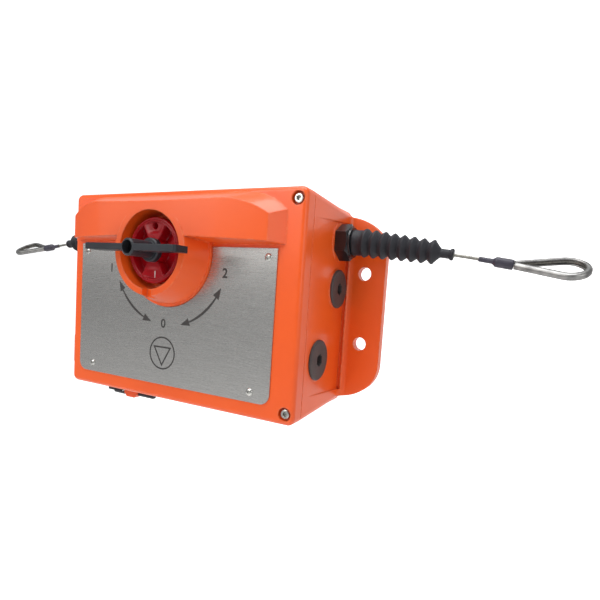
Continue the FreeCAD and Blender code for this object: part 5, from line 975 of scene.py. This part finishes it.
def printed_number(text, x, z):
    """A plain numeral from the built-in font: its flat (u, v) becomes (x + u, z + v)."""
    data = bpy.data.curves.new(f"number_{text}", "FONT")
    data.body = text
    data.size = NUMERAL_HIGH * MM
    data.extrude = NUMERAL_THICK * MM
    data.offset = NUMERAL_BOLDER * MM
    data.align_x = "CENTER"
    data.align_y = "CENTER"
    flat = bpy.data.objects.new(f"flat_{text}", data)
    mesh = bpy.data.meshes.new_from_object(flat)
    bpy.data.objects.remove(flat)
    bpy.data.curves.remove(data)
    spots = np.empty(len(mesh.vertices) * 3)
    mesh.vertices.foreach_get("co", spots)
    u, v, w = spots.reshape(-1, 3).T
    stood = np.stack([x * MM + u, (PLATE_FACE - 0.04) * MM - w, z * MM + v], axis=1)
    mesh.vertices.foreach_set("co", stood.ravel())
    mesh.update()
    mesh.materials.clear()
    mesh.materials.append(FINISHES["label_ink"])
    item = bpy.data.objects.new(f"number_{text}", mesh)
    scene.collection.objects.link(item)
    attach(item, "cover")
    print(f"number_{text}: {len(mesh.vertices)} points")


printed_number("1", -78.5, AXIS_Z - 18.7)
printed_number("0", -3.0, AXIS_Z - 72.0)
printed_number("2", 70.0, AXIS_Z - 18.0)

# %% [markdown]
# ## Screws in view
# Four cross screws hold the face plate, and two socket screws close the cover. A recess
# could be cut with a Boolean, which often leaves ragged faces in so small a head. A
# polar height field gives the dome, the rounded edge and the recess in one grid, and
# the shank follows as turned rows under the head.

# %% Screw heads
CROSS = {"half": 0.55, "reach": 2.0, "deep": 0.9}
SOCKET = {"half": 2.05, "deep": 2.9}


def head_grid(head, rings, steps):
    """Polar grid over a screw head: its shares of the radius, angles, x, z, and how far
    each ring lies on the rounded edge, from 0 to 1."""
    share = np.concatenate([np.linspace(0.0, 0.86, rings), [0.92, 0.97, 1.0]])[:, None]
    angle = np.linspace(0, 2 * math.pi, steps, endpoint=False)
    edge = smooth_step((share - 0.86) / 0.14)
    return share, angle, head * share * np.cos(angle), head * share * np.sin(angle), edge


def cross_recess(x, z):
    """Depth where the nearer axis is under the half width and the other within reach."""
    near, far = np.minimum(np.abs(x), np.abs(z)), np.maximum(np.abs(x), np.abs(z))
    return (CROSS["deep"] * smooth_step((CROSS["half"] - near) / 0.2)
            * smooth_step((CROSS["reach"] - far) / 0.4))


def hexagon_recess(x, z):
    """Depth where the largest of three distances, 60 degrees apart, is under the half."""
    turns = np.radians([0.0, 60.0, 120.0])[:, None, None]
    across = np.abs(x * np.cos(turns) + z * np.sin(turns)).max(axis=0)
    return SOCKET["deep"] * smooth_step((SOCKET["half"] - across) / 0.12)

# %% Cover and plate screws


def screw(node, at, head, tall, dome, shank, long, recess):
    """Head height = tall - dome * share^2, less the rounded edge and the recess."""
    steps = 96
    share, angle, x, z, edge = head_grid(head, 44, steps)
    height = tall - dome * share ** 2 - 0.35 * edge - recess(x, z)
    rows = [np.stack([at[0] + x, at[1] - height, at[2] + z], axis=-1)]
    for radius, depth in ((head, 0.0), (shank, 0.0), (shank, long), (0.0, long)):
        rows.append(np.stack([at[0] + radius * np.cos(angle), np.full(steps, at[1] + depth),
                              at[2] + radius * np.sin(angle)], axis=-1)[None])
    points = np.concatenate(rows)
    item = mesh_piece(f"detailed_{node}", points, grid_quads(len(points), steps), "stainless",
                      "cover")
    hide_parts(node)


for name, x, z in (("upper_left", -116.0, 43.2), ("upper_right", 116.0, 43.2),
                   ("lower_left", -104.0, -80.5), ("lower_right", 104.0, -80.5)):
    screw(f"face_plate_screw_{name}", (x, PLATE_FACE, z), head=3.6, tall=1.75, dome=1.1,
          shank=1.5, long=7.0, recess=cross_recess)
for name, z in (("upper", 95.0), ("lower", -95.0)):
    screw(f"cover_screw_{name}", (141.0, FRONT + 6.0, z), head=4.25, tall=5.0, dome=0.0,
          shank=2.5, long=18.0, recess=hexagon_recess)

# %% [markdown]
# ## Screws inside the case
# With the cover open, an electrician sees screws on the terminals, on the contact
# blocks and on the mounting plate. One slotted head is worked out once and set down at
# every place by adding the places to it, so a whole row is a single mesh.

# %% Slotted heads
TERMINAL_FLOOR, CONTACT_SHELF, MOUNTING_FACE = -30.5, -38.5, -14.5  # y under the heads


def slotted_heads(name, places, head=3.2, tall=2.4):
    """Height = tall - 0.5 share^2, less the rounded edge and less 1.2 in the slot; each
    head stands on its place and reaches 0.3 into what carries it."""
    steps = 48
    share, angle, x, z, edge = head_grid(head, 18, steps)
    slot = smooth_step((0.65 - np.abs(x + 0.4 * z)) / 0.25)
    height = tall - 0.5 * share ** 2 - 0.3 * edge - 1.2 * slot
    foot = np.full(steps, 0.3)
    shape = np.concatenate([
        np.stack([x, -height, z], axis=-1),
        np.stack([head * np.cos(angle), foot, head * np.sin(angle)], axis=-1)[None],
        np.stack([0 * foot, foot, 0 * foot], axis=-1)[None]])
    points = np.array(places, float)[:, None, None, :] + shape
    start = np.arange(len(places))[:, None, None] * shape.shape[0] * steps
    faces = start + grid_quads(shape.shape[0], steps)
    item = mesh_piece(name, points, faces.reshape(-1, 4), "stainless", "base")


slotted_heads("terminal_screws",
              [(x, TERMINAL_FLOOR, -60.0) for x in np.arange(-42.0, 43.0, 12.0)])
slotted_heads("contact_screws",
              [(x, CONTACT_SHELF, -28.0) for x in (-46.0, -28.0, 28.0, 46.0)])
slotted_heads("mounting_screws",
              [(x, MOUNTING_FACE, z) for x in (-60.0, 60.0) for z in (-68.0, 12.0)], head=3.8)

# %% [markdown]
# ## Studio
# Product pictures are taken on a sweep: one sheet that is floor in front, curves up and
# is wall behind, so that no corner shows. It stands well clear of the part. Its glow is
# strong only where the camera sees it, so it looks white but hardly lights the part.

# %% Floor and backdrop
HALF_WIDE, FLOOR_Z, FLOOR_START, CURVE_START, CURVE_RADIUS = 6.0, -0.9, -6.0, 1.2, 1.0
WALL_Z = 5.0
GLOW_UNSEEN, GLOW_SEEN = 0.16, 0.75


def backdrop_material():
    """Dull white, with a glow that depends on whether the camera looks at it."""
    material = bpy.data.materials.new("backdrop")
    material.use_nodes = True
    tree = material.node_tree
    shader = tree.nodes["Principled BSDF"]
    put(shader, {"Base Color": (0.93, 0.93, 0.93, 1), "Roughness": 0.9,
                 "Emission Color": (1.0, 1.0, 1.0, 1)})
    ray = tree.nodes.new("ShaderNodeLightPath")
    glow = tree.nodes.new("ShaderNodeMapRange")
    put(glow, {"To Min": GLOW_UNSEEN, "To Max": GLOW_SEEN})
    wire(ray, "Is Camera Ray", glow, "Value")
    wire(glow, "Result", shader, "Emission Strength")
    return material


def backdrop():
    """Floor and wall joined by a quarter circle, as one bent sheet, in metres."""
    angle = np.linspace(0, math.pi / 2, 16)
    y = np.concatenate([[FLOOR_START], CURVE_START + CURVE_RADIUS * np.sin(angle),
                        [CURVE_START + CURVE_RADIUS]])
    z = np.concatenate([[FLOOR_Z], FLOOR_Z + CURVE_RADIUS * (1 - np.cos(angle)), [WALL_Z]])
    points = np.stack([np.stack([np.full_like(y, x), y, z], 1)
                       for x in (-HALF_WIDE, HALF_WIDE)], 1)
    faces = 2 * np.arange(len(y) - 1)[:, None] + np.array([0, 1, 3, 2])
    mesh = bpy.data.meshes.new("backdrop")
    mesh.from_pydata(points.reshape(-1, 3).tolist(), [], faces.tolist())
    mesh.polygons.foreach_set("use_smooth", np.full(len(mesh.polygons), True))
    mesh.materials.append(backdrop_material())
    item = bpy.data.objects.new("backdrop", mesh)
    scene.collection.objects.link(item)
    print(f"backdrop: {len(faces)} strips")


backdrop()
